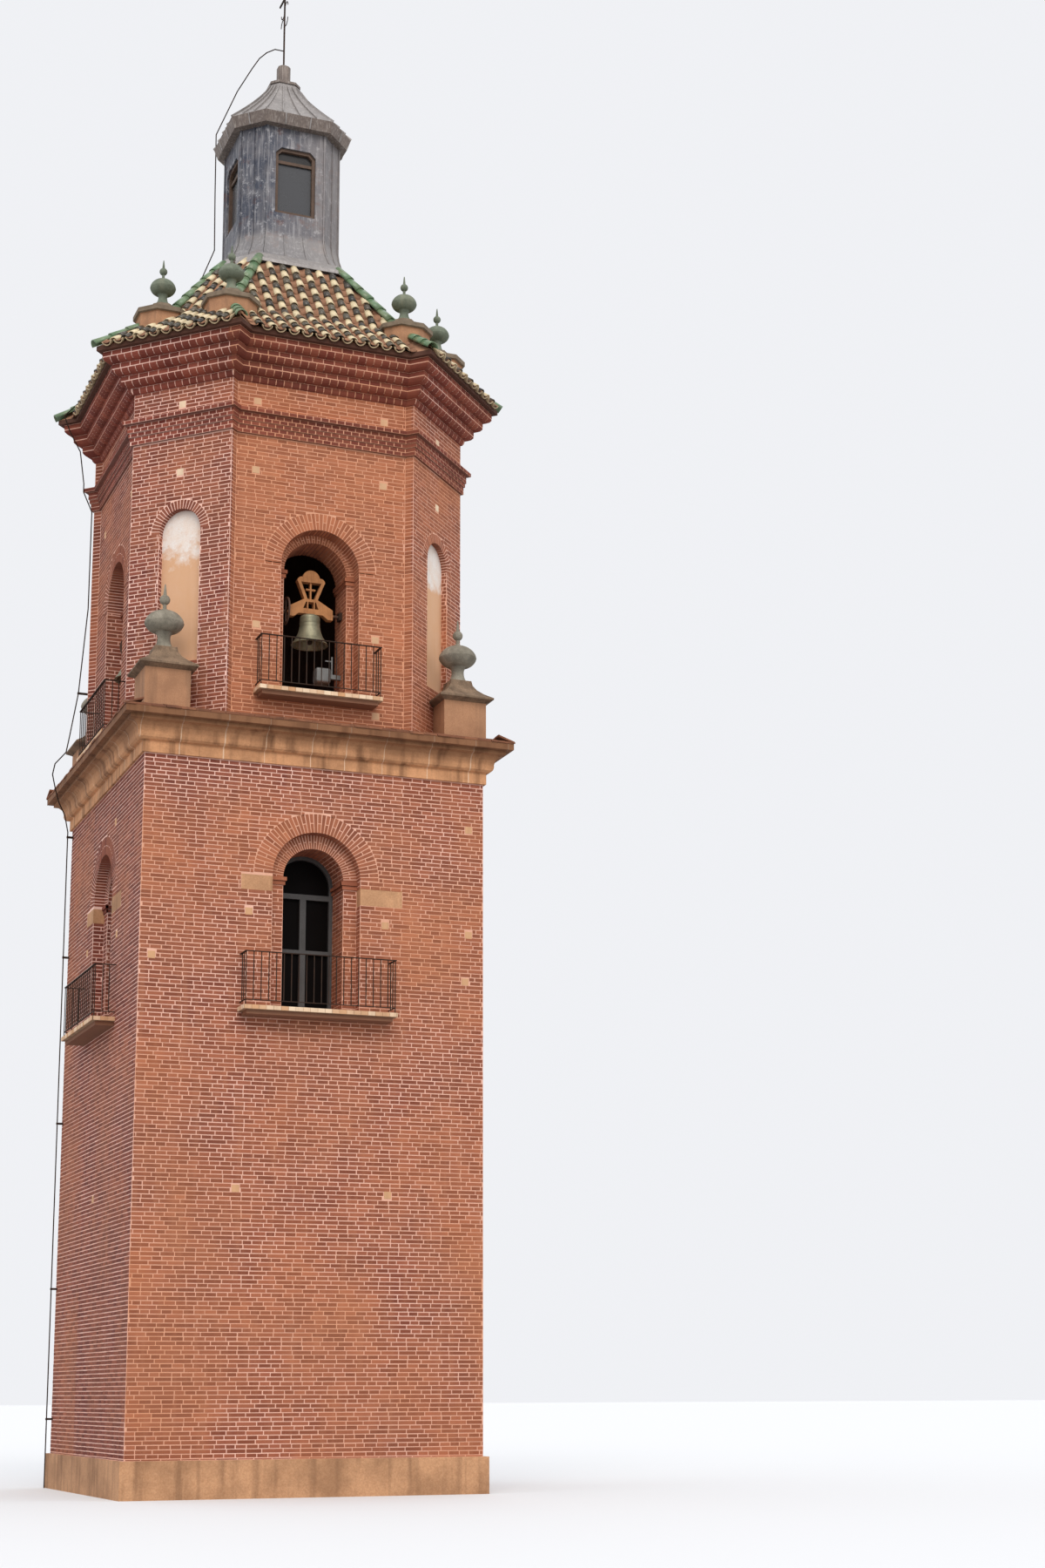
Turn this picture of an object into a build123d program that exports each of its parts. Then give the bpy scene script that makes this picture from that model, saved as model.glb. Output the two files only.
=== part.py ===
from build123d import *
import math
import os

# Sizes in millimetres. Z is up from the foot of the tower, -Y is the front, X runs to the right.

# Square shaft
shaft_width = 6000
shaft_wall = 1100
lower_storey_height = 7860
upper_storey_height = 4190
plinth_height = 600
plinth_projection = 80
ground_floor_thickness = 200
floor_thickness = 300

# Ground doorway in the back wall
doorway_width = 1100
doorway_jamb_height = 1900
door_set_back = 500
door_thickness = 70

# Balcony doorways of the shaft, arched in two orders
shaft_arch_outer = 770
shaft_arch_inner = 530
shaft_jamb_height = 2300
shaft_order_depth = 200

# Door leaves and their grey frame
door_frame_depth = 800
door_frame_size = 65
door_mullion = 110
transom_drop = 230
transom_height = 90
middle_rail_rise = 1120
pane_thickness = 8

# Impost stones beside the shaft arches
left_impost_width = 540
left_impost_height = 260
left_impost_drop = 40
right_impost_width = 750
right_impost_height = 310
right_impost_drop = 120

# Balconies
balcony_projection = 380
slab_thickness = 72
slab_bed = 70
slab_bed_inset = 60
shaft_balcony_half = 1320
belfry_balcony_half = 1090
front_balcony_shift = 60
rail_height = 900
rail_inset = 30
rail_width = 40
rail_thickness = 12
bottom_rail_gap = 80
bar_size = 14
bar_pitch = 131
rail_joint = 0.3

# Stone entablature on the shaft, from its foot upward
frieze_height = 195
frieze_projection = 45
bed_mould_height = 90
bed_mould_reach = 105
fillet_height = 50
cove_height = 165
cove_reach = 165
fascia_height = 60
corona_reach = 105
corona_height = 105
drip = 5

# Tiled terrace above the entablature
terrace_edge = 10
terrace_rise = 160

# Octagonal belfry, whose diagonal walls stand proud of the main walls at small returns
belfry_setback = 50
belfry_front_half = 1540
corner_return = 166
return_spread = 0.12
belfry_wall = 950
belfry_floor_rise = 620
belfry_arch_outer = 705
belfry_arch_inner = 570
belfry_jamb_height = 2310
belfry_order_depth = 300
belfry_head_height = 3250

# The left opening goes down to the terrace by a step
left_sill_drop = 410
left_sill_depth = 650

# Blind niches of the diagonal walls
niche_half = 410
niche_sill_rise = 510
niche_jamb_height = 2370
niche_depth = 130
plaster_thickness = 20

# Moulded brickwork: a string course of plain courses and a cornice of three corbelled rounds
brick_course = 70
string_course_drop = 960
string_lower = 45
string_middle = 67
string_upper = 85
string_cap = 155
cornice_bed_height = 110
cornice_bed_reach = 60
cornice_round_height = 100
cornice_round_reach = 135
cornice_fascia_height = 95
cornice_rounds = 3

# Corner pedestals and urns of the terrace
pedestal_half = 390
pedestal_height = 800
pedestal_cap_overhang = 110
pedestal_cap_soffit = 55
pedestal_cap_edge = 30
pedestal_cap_height = 450
pedestal_platform_half = 190
urn_clearance = 75
urn_height = 1150
urn_bowl_radius = 335
urn_foot_radius = 175

# Roof of the belfry in two pitches
eave_reach = 555
eave_thickness = 80
knee_setback = 490
knee_return = 30
roof_low_rise = 825
roof_high_rise = 1600
roof_head_half = 1270
roof_head_side_half = 740
roof_shell_thickness = 200
roof_shell_drop = 250
hip_radius = 85
hip_end = 70

# Pedestals and urns on the hips
hip_pedestal_out = 120
hip_pedestal_aside = 45
hip_pedestal_half = 430
hip_pedestal_side_half = 190
hip_pedestal_drop = 100
hip_cap_overhang = 50
hip_cap_edge = 80
hip_cap_height = 290
hip_platform_half = 185
hip_urn_height = 896
hip_urn_bowl_radius = 230
hip_urn_foot_radius = 180

# Lantern of sheet metal
lantern_half = 970
lantern_side_half = 570
lantern_wall = 120
skirt_height = 780
skirt_overlap = 60
skirt_lap = 80
lantern_wall_height = 2170
window_half = 390
window_sill_rise = 430
window_height = 1340
window_chamfer = 110
window_frame = 60
window_recess = 40
fascia_foot_reach = 140
fascia_lean = 70
lantern_fascia_height = 210
lantern_roof_height = 1160
lantern_roof_head = 270
roll_height = 50
roll_reach = 25
post_half = 120
post_flare = 50
post_height = 520

# Iron cross
cross_height = 1950
cross_arm = 340
cross_arm_drop = 480
cross_rod = 28
scroll_radius = 120
scroll_bar = 14

# Bells, hung in the front and left openings
front_bell_depth = 600
front_axle_rise = 1680
front_bell_radius = 325
front_bell_height = 540
left_bell_depth = 450
left_axle_rise = 1610
left_bell_radius = 420
left_bell_height = 710
crown_gap = 40
bell_wall = 26
lip_thickness = 40
crown_wall = 45

# Clappers and their staples
pivot_drop = 130
pin_radius = 8
pin_play = 0.05
staple_spread = 20
staple_thickness = 14
clapper_rod = 10
clapper_eye = 24
clapper_lift = 60
ball_share = 0.155

# Wooden headstock and ringing wheel
axle_radius = 25
axle_play = 0.05
axle_end_gap = 10
bearing_thickness = 55
bearing_half = 70
yoke_thickness = 120
yoke_span = 400
yoke_end_half = 90
yoke_bar_half = 120
yoke_bar_rise = 250
yoke_bar_depth = 50
beam_depth = 75
strut_width = 60
head_half = 250
head_rise = 560
head_height = 220
inset_cross_rise = 420
inset_cross_arm = 85
strap_width = 18
wheel_radius = 250
wheel_rim = 34
wheel_width = 30
wheel_place = 440

# Striking motor beside the front bell
motor_aside = 100
motor_width = 270
motor_rise = 430
motor_height = 270
motor_depth = 220
motor_rounding = 40
bar_place = 400
striker_bar = 24
striker_bar_height = 330
hammer_rise = 140

# Lightning conductor at the back left corner
cable_radius = 11
cable_stand_off = 110
bracket_size = 36
shaft_bracket_shares = (0.9875, 0.7967, 0.5394, 0.2905, 0.0996)
belfry_bracket_point = 20

root2 = math.sqrt(2)
shaft_half = shaft_width / 2
shaft_inner = shaft_half - shaft_wall
upper_floor_level = lower_storey_height
shaft_top = lower_storey_height + upper_storey_height
shaft_springing = upper_floor_level + shaft_jamb_height
belfry_half = shaft_half - belfry_setback
diagonal_distance = (belfry_half + belfry_front_half) / root2 + corner_return
belfry_inner = belfry_half - belfry_wall
belfry_inner_side = root2 * (diagonal_distance - belfry_wall) - belfry_inner
lantern_inner = lantern_half - lantern_wall
lantern_diagonal = (lantern_half + lantern_side_half) / root2
lantern_inner_side = root2 * (lantern_diagonal - lantern_wall) - lantern_inner


def band(profile, height):
    """The profile, carried straight up by height. A profile is a list of (reach, level) points."""
    reach, level = profile[-1]
    return profile + [(reach, level + height)]


def shelf(profile, reach):
    """The profile, stepped outward with a soffit that rises a little."""
    last, level = profile[-1]
    return profile + [(last + reach, level + drip)]


def round_mould(profile, reach, height):
    """A convex quarter curve that leaves the wall level and ends upright."""
    start, level = profile[-1]
    angles = [math.radians(30 * i) for i in (1, 2, 3)]
    return profile + [(start + reach * math.sin(a), level + height * (1 - math.cos(a))) for a in angles]


def hollow_mould(profile, reach, height):
    """A concave quarter curve that leaves the wall upright and ends level."""
    start, level = profile[-1]
    angles = [math.radians(30 * i) for i in (1, 2, 3)]
    return profile + [(start + reach * (1 - math.cos(a)), level + height * math.sin(a)) for a in angles]


def flare(profile, reach, height, power, count):
    """A concave slope from the profile's end to reach: steep near its head when the power is over 1."""
    foot, level = profile[-1]
    shares = [(i + 1) / count for i in range(count)]
    return profile + [(reach + (foot - reach) * (1 - t) ** power, level + height * t) for t in shares]


def lower_cornice_profile():
    profile = band([(frieze_projection, shaft_top)], frieze_height)
    profile = round_mould(profile, bed_mould_reach, bed_mould_height)
    profile = band(profile, fillet_height)
    profile = hollow_mould(profile, cove_reach, cove_height)
    profile = band(profile, fascia_height)
    profile = shelf(profile, corona_reach)
    return band(profile, corona_height)


def upper_cornice_profile(foot_level):
    profile = round_mould([(0, foot_level)], cornice_bed_reach, cornice_bed_height)
    for _ in range(cornice_rounds):
        profile = round_mould(profile, cornice_round_reach, cornice_round_height)
        profile = band(profile, cornice_fascia_height)
    return profile


# Levels and reaches that follow from the sizes above
cornice_edge, cornice_top = lower_cornice_profile()[-1]
terrace_top = cornice_top + terrace_edge + terrace_rise
belfry_floor_level = cornice_top + belfry_floor_rise
belfry_springing = belfry_floor_level + belfry_jamb_height
belfry_wall_top = belfry_springing + belfry_head_height
niche_bottom = belfry_floor_level + niche_sill_rise
niche_springing = niche_bottom + niche_jamb_height
eave_level = upper_cornice_profile(belfry_wall_top)[-1][1]
eave_top = eave_level + eave_thickness
knee_level = eave_top + roof_low_rise
roof_head_level = knee_level + roof_high_rise
knee_half = belfry_half - knee_setback
lantern_foot_level = roof_head_level + skirt_height
lantern_head_level = lantern_foot_level + lantern_wall_height
lantern_eave_level = lantern_head_level + lantern_fascia_height
post_foot_level = lantern_eave_level + lantern_roof_height
post_top = post_foot_level + post_height
pedestal_centre = (diagonal_distance + urn_bowl_radius + urn_clearance) / root2
pedestal_box_top = cornice_top + pedestal_height
pedestal_top = pedestal_box_top + pedestal_cap_height


def quarter_turns(shape, turns):
    """The shape turned about the tower's axis: 0 front, 1 left, 2 back, 3 right."""
    return Rot(0, 0, -90 * turns) * shape


def all_round(shape):
    return [quarter_turns(shape, k) for k in range(4)]


def polygon(points, level):
    return make_face(Polyline(*[(x, y, level) for x, y in points], close=True))


def prism(points, low, high):
    return extrude(polygon(points, low), amount=high - low, dir=(0, 0, 1))


def stack(plan, profile):
    """A solid with flat sides through plan(reach) at each level of the profile."""
    return loft([polygon(plan(reach), level) for reach, level in profile], ruled=True)


def block(x0, x1, y0, y1, z0, z1):
    return Pos(x0, y0, z0) * Box(x1 - x0, y1 - y0, z1 - z0, align=(Align.MIN, Align.MIN, Align.MIN))


def upright_prism(points, y0, y1):
    """A solid with an outline of (x, z) points, from y0 to y1."""
    face = make_face(Polyline(*[(x, y0, z) for x, z in points], close=True))
    return extrude(face, amount=y1 - y0, dir=(0, 1, 0))


def turned(points, k):
    for _ in range(k):
        points = [(-y, x) for x, y in points]
    return points


def round_the_tower(corner):
    return [turn for k in range(4) for turn in turned(corner, k)]


def square(half):
    return [(half, -half), (half, half), (-half, half), (-half, -half)]


def octagon(half, side_half):
    """An octagon whose main sides are 2 * side_half long, at the distance half from the axis."""
    return round_the_tower([(side_half, -half), (half, -side_half)])


def cornered_octagon(half, side_half, step):
    """An octagon whose diagonal sides stand proud of the main sides by small returns."""
    corner = [(side_half, -half), (side_half + step, -half - step)]
    return round_the_tower(corner + [(-y, -x) for x, y in reversed(corner)])


def belfry_outline(offset):
    """The belfry's plan moved outward by offset, with returns that widen and spread as they go out."""
    wall = belfry_half + offset
    outer_x = belfry_front_half + corner_return / root2 + return_spread * offset
    outer_y = outer_x - root2 * (diagonal_distance + offset)
    step = -outer_y - wall
    return cornered_octagon(wall, outer_x - step, step)


def arch_prism(half, bottom, springing, y0, y1):
    """A round-headed opening, cut through from y0 to y1."""
    edges = [
        Line((-half, y0, bottom), (half, y0, bottom)),
        Line((half, y0, bottom), (half, y0, springing)),
        ThreePointArc((half, y0, springing), (0, y0, springing + half), (-half, y0, springing)),
        Line((-half, y0, springing), (-half, y0, bottom)),
    ]
    return extrude(make_face(edges), amount=y1 - y0, dir=(0, 1, 0))


def two_order_arch(face, wall, outer, inner, depth, bottom, springing):
    """The opening of an arch with two orders in a wall whose outer face is at y = -face."""
    outside = -face - depth
    recess = arch_prism(outer, bottom, springing, outside, -face + depth)
    return recess + arch_prism(inner, bottom, springing, outside, -face + wall + depth)


def plinth():
    course = prism(square(shaft_half + plinth_projection), 0, plinth_height)
    course -= prism(square(shaft_half), 0, plinth_height)
    doorway = arch_prism(doorway_width / 2, 0, doorway_jamb_height, shaft_inner, shaft_width)
    return course - doorway


def impost_stones():
    """The pair of stones beside one doorway, which return into its first order."""
    depth = shaft_order_depth
    left_top = shaft_springing - left_impost_drop
    right_top = shaft_springing - right_impost_drop
    left = block(-left_impost_width, 0, 0, depth, left_top - left_impost_height, left_top)
    right = block(0, right_impost_width, 0, depth, right_top - right_impost_height, right_top)
    return [Pos(-shaft_arch_outer, -shaft_half, 0) * left, Pos(shaft_arch_outer, -shaft_half, 0) * right]


def shaft_wall_panel(half_length):
    """A shaft wall before its turn: a storey below the balcony doorway, and one around it."""
    wall = block(-half_length, half_length, -shaft_half, -shaft_inner, 0, shaft_top)
    wall -= two_order_arch(
        shaft_half,
        shaft_wall,
        shaft_arch_outer,
        shaft_arch_inner,
        shaft_order_depth,
        upper_floor_level,
        shaft_springing,
    )
    for stone in impost_stones():
        wall -= stone
    return wall


def back_wall_of_shaft():
    doorway = arch_prism(doorway_width / 2, 0, doorway_jamb_height, -shaft_width, -shaft_inner + shaft_wall)
    return quarter_turns(shaft_wall_panel(shaft_half) - doorway, 2)


def entrance_door():
    face = -shaft_half + door_set_back
    half = doorway_width / 2
    leaf = arch_prism(half, ground_floor_thickness, doorway_jamb_height, face, face + door_thickness)
    return quarter_turns(leaf, 2)


def balcony_door_frame():
    """A round-headed frame with a mullion, a transom and a middle rail."""
    face = -shaft_half + door_frame_depth
    back = face + door_frame_size
    inner = shaft_arch_inner - door_frame_size
    sill = upper_floor_level
    frame = arch_prism(shaft_arch_inner, sill, shaft_springing, face, back)
    frame -= arch_prism(inner, sill + door_frame_size, shaft_springing, face, back)
    transom = shaft_springing - transom_drop
    frame += block(-inner, inner, face, back, transom, transom + transom_height)
    frame += block(-door_mullion / 2, door_mullion / 2, face, back, sill, transom)
    rail = sill + middle_rail_rise
    return frame + block(-inner, inner, face, back, rail, rail + door_frame_size)


def balcony_door_pane():
    front = -shaft_half + door_frame_depth + door_frame_size
    return arch_prism(shaft_arch_inner, upper_floor_level, shaft_springing, front, front + pane_thickness)


def balcony_slab(face, half, level):
    """A thin slab with a narrower bed below it."""
    edge = -face - balcony_projection
    low = level - slab_thickness
    slab = block(-half, half, edge, -face, low, level)
    bed_half = half - slab_bed_inset
    return slab + block(-bed_half, bed_half, edge + slab_bed_inset, -face, low - slab_bed, low)


def railing(face, half, level):
    """Three panels of square bars that stand on the slab: the front and its two returns."""
    front_y = -face - balcony_projection + rail_inset
    side_x = half - rail_inset
    panels = [Pos(0, front_y, level) * rail_panel(-side_x, side_x, posts=True)]
    length = balcony_projection - rail_inset - rail_width / 2 - rail_joint
    side_panel = Rot(0, 0, 90) * rail_panel(0, length, posts=False)
    for side in (-1, 1):
        panels.append(Pos(side * side_x, -face - length, level) * side_panel)
    return panels


def rail_panel(x0, x1, posts):
    """Bars between a flat top rail and a bottom rail. The posts at its ends reach the slab."""
    half_rail = rail_width / 2
    end = half_rail if posts else 0
    under = rail_height - rail_thickness
    panel = block(x0 - end, x1 + end, -half_rail, half_rail, under, rail_height)
    foot_rail = bottom_rail_gap + rail_thickness
    panel += block(x0, x1, -half_rail / 2, half_rail / 2, bottom_rail_gap, foot_rail)
    count = max(2, round((x1 - x0) / bar_pitch))
    half_bar = bar_size / 2
    places = range(count + 1) if posts else range(1, count)
    for i in places:
        x = x0 + (x1 - x0) * i / count
        bottom = 0 if i in (0, count) else bottom_rail_gap
        panel += block(x - half_bar, x + half_bar, -half_bar, half_bar, bottom, under)
    return panel


def lower_cornice():
    solid = stack(lambda reach: square(shaft_half + reach), lower_cornice_profile())
    return solid - prism(octagon(belfry_inner, belfry_inner_side), shaft_top, cornice_top)


def terrace():
    """The tiled slope from the cornice's edge up to the belfry's foot."""
    edge = shaft_half + cornice_edge
    profile = band([(edge, cornice_top)], terrace_edge) + [(belfry_half, terrace_top)]
    return stack(square, profile) - prism(belfry_outline(0), cornice_top, terrace_top)


def pedestal_box():
    box = prism(square(pedestal_half), cornice_top, pedestal_box_top)
    box = Pos(-pedestal_centre, -pedestal_centre, 0) * box
    return box - prism(belfry_outline(0), cornice_top, pedestal_top)


def cap_profile(half, level, overhang, soffit, edge, height, platform):
    """A pedestal's cap: a sloped soffit, an upright edge and a concave slope to the urn's platform."""
    profile = [(half, level), (half + overhang, level + soffit)]
    profile = band(profile, edge)
    return flare(profile, platform, height - soffit - edge, 2, 4)


def pedestal_cap():
    profile = cap_profile(
        pedestal_half,
        pedestal_box_top,
        pedestal_cap_overhang,
        pedestal_cap_soffit,
        pedestal_cap_edge,
        pedestal_cap_height,
        pedestal_platform_half,
    )
    cap = Pos(-pedestal_centre, -pedestal_centre, 0) * stack(square, profile)
    return cap - prism(belfry_outline(0), cornice_top, pedestal_top)


def urn(height, bowl, foot):
    """A turned urn: flared foot, neck, round bowl under a domed lid, ball and spike."""
    neck = 0.34 * bowl
    ball = 0.078 * height
    ball_level = 0.757 * height
    stem = 0.36 * ball
    edges = [
        Line((0, 0), (foot, 0)),
        ThreePointArc((foot, 0), (0.5 * (foot + neck) - 0.1 * foot, 0.07 * height), (neck, 0.2 * height)),
        Line((neck, 0.2 * height), (1.25 * neck, 0.25 * height)),
        ThreePointArc((1.25 * neck, 0.25 * height), (0.85 * bowl, 0.31 * height), (bowl, 0.39 * height)),
        Line((bowl, 0.39 * height), (0.97 * bowl, 0.43 * height)),
        ThreePointArc((0.97 * bowl, 0.43 * height), (0.7 * bowl, 0.53 * height), (0.3 * bowl, 0.58 * height)),
        Line((0.3 * bowl, 0.58 * height), (stem, 0.62 * height)),
        Line((stem, 0.62 * height), (stem, ball_level - 0.93 * ball)),
        ThreePointArc((stem, ball_level - 0.93 * ball), (ball, ball_level), (stem, ball_level + 0.93 * ball)),
        Line((stem, ball_level + 0.93 * ball), (0.12 * ball, height)),
        Line((0.12 * ball, height), (0, height)),
        Line((0, height), (0, 0)),
    ]
    return revolve(Rot(90, 0, 0) * make_face(edges), Axis.Z)


def main_wall_of_belfry():
    plan = [
        (-belfry_front_half, -belfry_half),
        (belfry_front_half, -belfry_half),
        (belfry_inner_side, -belfry_inner),
        (-belfry_inner_side, -belfry_inner),
    ]
    return prism(plan, cornice_top, belfry_wall_top) - two_order_arch(
        belfry_half,
        belfry_wall,
        belfry_arch_outer,
        belfry_arch_inner,
        belfry_order_depth,
        belfry_floor_level,
        belfry_springing,
    )


def left_sill_cut():
    """The step down to the terrace at the foot of the left opening, before its turn."""
    low = belfry_floor_level - left_sill_drop
    first = -belfry_half + belfry_order_depth
    outside = -belfry_half - belfry_order_depth
    back = -belfry_half + left_sill_depth
    wide = block(-belfry_arch_outer, belfry_arch_outer, outside, first, low, belfry_floor_level)
    return wide + block(-belfry_arch_inner, belfry_arch_inner, outside, back, low, belfry_floor_level)


def diagonal_wall_of_belfry():
    corner = belfry_outline(0)[:4]
    plan = corner + [(belfry_inner, -belfry_inner_side), (belfry_inner_side, -belfry_inner)]
    face = -diagonal_distance
    niche = arch_prism(niche_half, niche_bottom, niche_springing, face - niche_depth, face + niche_depth)
    return prism(plan, cornice_top, belfry_wall_top) - Rot(0, 0, 45) * niche


def niche_panel():
    back = -diagonal_distance + niche_depth
    panel = arch_prism(niche_half, niche_bottom, niche_springing, back - plaster_thickness, back)
    return Rot(0, 0, 45) * panel


def string_course():
    """Six plain brick courses that step outward: two, one, two and a projecting cap."""
    low = belfry_wall_top - string_course_drop
    profile = band([(string_lower, low)], 2 * brick_course)
    profile = band(shelf(profile, string_middle - string_lower), brick_course)
    profile = band(shelf(profile, string_upper - string_middle), 2 * brick_course)
    profile = band(shelf(profile, string_cap - string_upper), brick_course)
    return stack(belfry_outline, profile) - prism(belfry_outline(0), low, profile[-1][1])


def upper_cornice():
    solid = stack(belfry_outline, upper_cornice_profile(belfry_wall_top))
    return solid - prism(octagon(belfry_inner, belfry_inner_side), belfry_wall_top, eave_level)


def knee_outline():
    return cornered_octagon(knee_half, belfry_front_half, knee_return)


def head_outline():
    return cornered_octagon(roof_head_half, roof_head_side_half, knee_return)


def roof_body():
    """The roof's outer form: an upright eave edge, the flatter slopes and the steeper ones above."""
    sections = [
        polygon(belfry_outline(eave_reach), eave_level),
        polygon(belfry_outline(eave_reach), eave_top),
        polygon(knee_outline(), knee_level),
        polygon(head_outline(), roof_head_level),
    ]
    return loft(sections, ruled=True)


def roof_shell():
    inset = roof_shell_thickness
    side_inset = (root2 - 1) * inset
    sections = [
        polygon(octagon(belfry_half, belfry_front_half), eave_level),
        polygon(octagon(knee_half - inset, belfry_front_half - side_inset), knee_level - roof_shell_drop),
        polygon(octagon(roof_head_half - inset, roof_head_side_half - side_inset), roof_head_level),
    ]
    return roof_body() - loft(sections, ruled=True)


def hip_line():
    """The front right hip from the lantern down to the eave, where the ridge juts out a little."""
    head = Vector(*head_outline()[1], roof_head_level)
    knee = Vector(*knee_outline()[1], knee_level)
    eave = Vector(*belfry_outline(eave_reach)[1], eave_top)
    return [head, knee, eave + (eave - knee).normalized() * hip_end]


def hip_ridge():
    """A round ridge along the front right hip, which the roof's form then halves."""
    ridge = None
    line = hip_line()
    for start, end in zip(line, line[1:]):
        run = Plane(origin=start, z_dir=end - start) * Circle(hip_radius)
        tube = extrude(run, amount=(end - start).length)
        ridge = tube if ridge is None else ridge + tube
    return ridge + Pos(line[1].X, line[1].Y, line[1].Z) * Sphere(hip_radius)


def mirrored_corners(shape):
    """Eight copies: the corner right of each main wall, and its mirror image on the left."""
    pair = [shape, mirror(shape, Plane.YZ)]
    return [quarter_turns(item, k) for k in range(4) for item in pair]


def hip_pedestal_place():
    knee = hip_line()[1]
    return Pos(knee.X + hip_pedestal_aside, knee.Y - hip_pedestal_out, 0)


def hip_pedestal_plan(half):
    """An octagon in the tower's own directions, with its proportions kept."""
    return octagon(half, half * hip_pedestal_side_half / hip_pedestal_half)


def hip_pedestal(cap_level):
    box = prism(hip_pedestal_plan(hip_pedestal_half), eave_level, cap_level)
    soffit = hip_cap_edge / 4
    profile = cap_profile(
        hip_pedestal_half, cap_level, hip_cap_overhang, soffit, hip_cap_edge, hip_cap_height, hip_platform_half
    )
    return hip_pedestal_place() * (box + stack(hip_pedestal_plan, profile)) - roof_body()


def lantern_plan(half):
    """An octagon round the lantern's axis whose diagonal sides keep about the same share."""
    return octagon(half, lantern_side_half + (half - lantern_half) * (root2 - 1))


def lantern_inside(low, high):
    return prism(octagon(lantern_inner, lantern_inner_side), low, high)


def lantern_skirt():
    """The flared metal foot of the lantern, which laps over the heads of the tiles."""
    foot = roof_head_half + skirt_overlap
    low = roof_head_level - skirt_lap
    profile = band([(foot, low)], skirt_lap)
    profile = flare(profile, lantern_half, skirt_height, 1.8, 5)
    return stack(lantern_plan, profile) - lantern_inside(low, lantern_foot_level) - roof_body()


def window_prism(inset, y0, y1):
    """A lantern window's opening with cut upper corners."""
    half = window_half - inset
    low = lantern_foot_level + window_sill_rise + inset
    high = lantern_foot_level + window_sill_rise + window_height - inset
    cut = window_chamfer - (2 - root2) * inset
    points = [(-half, low), (half, low), (half, high - cut), (half - cut, high)]
    return upright_prism(points + [(cut - half, high), (-half, high - cut)], y0, y1)


def lantern_main_wall():
    plan = [
        (-lantern_side_half, -lantern_half),
        (lantern_side_half, -lantern_half),
        (lantern_inner_side, -lantern_inner),
        (-lantern_inner_side, -lantern_inner),
    ]
    wall = prism(plan, lantern_foot_level, lantern_head_level)
    return wall - window_prism(0, -lantern_half - lantern_wall, -lantern_inner + lantern_wall)


def lantern_corner_wall():
    plan = [
        (lantern_side_half, -lantern_half),
        (lantern_half, -lantern_side_half),
        (lantern_inner, -lantern_inner_side),
        (lantern_inner_side, -lantern_inner),
    ]
    return prism(plan, lantern_foot_level, lantern_head_level)


def window_frame_ring():
    face = -lantern_half + window_recess
    back = face + window_frame
    return window_prism(0, face, back) - window_prism(window_frame, face, back)


def window_pane():
    front = -lantern_half + window_recess + window_frame
    return window_prism(0, front, front + pane_thickness)


def lantern_cornice():
    """A plate on the walls whose fascia leans outward."""
    foot = lantern_half + fascia_foot_reach
    profile = [(lantern_half, lantern_head_level), (foot, lantern_head_level + drip)]
    profile.append((foot + fascia_lean, lantern_eave_level))
    return stack(lantern_plan, profile)


def lantern_roof():
    eave = lantern_half + fascia_foot_reach + fascia_lean
    profile = flare([(eave, lantern_eave_level)], lantern_roof_head, lantern_roof_height, 1.25, 6)
    return stack(lantern_plan_of_roof, profile)


def lantern_plan_of_roof(half):
    """The roof's octagon, whose sides shrink in proportion towards the post."""
    eave = lantern_half + fascia_foot_reach + fascia_lean
    eave_side = lantern_side_half + (eave - lantern_half) * (root2 - 1)
    return octagon(half, half * eave_side / eave)


def finial_post():
    """A roll, a flared foot and the octagonal post with its small cap."""
    roll = lantern_roof_head + roll_reach
    top = post_foot_level + roll_height
    solid = prism(lantern_plan_of_roof(roll), post_foot_level, top)
    profile = flare([(post_half + post_flare, top)], post_half, 3 * roll_height, 2, 3)
    profile = band(profile, post_top - roll_height - profile[-1][1])
    profile.append((post_half / 2, post_top))
    return solid + stack(lantern_plan_of_roof, profile)


def iron_cross():
    """A square rod with its arms in the front-to-back plane, and four scrolls below the arms."""
    half = cross_rod / 2
    top = post_top + cross_height
    arm = top - cross_arm_drop
    aside = scroll_radius - scroll_bar / 2
    cross = block(-half, half, -half, half, post_top, top)
    cross += block(-half, half, -cross_arm, cross_arm, arm - half, arm + half)
    for side in (-1, 1):
        for centre, direction in ((arm - 2.2 * scroll_radius, 1), (arm - 4.4 * scroll_radius, -1)):
            cross += Pos(0, side * aside, centre) * scroll(side * direction)
    return cross


def scroll(opening):
    """Half a flat ring in the YZ plane, one of whose ends lies in the rod."""
    ring = Cylinder(scroll_radius, scroll_bar) - Cylinder(scroll_radius - scroll_bar, scroll_bar)
    ring = Rot(0, 90, 0) * ring
    reach = 2 * scroll_radius
    low, high = (0, reach) if opening > 0 else (-reach, 0)
    return ring - block(-reach, reach, -reach, reach, low, high)


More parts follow.
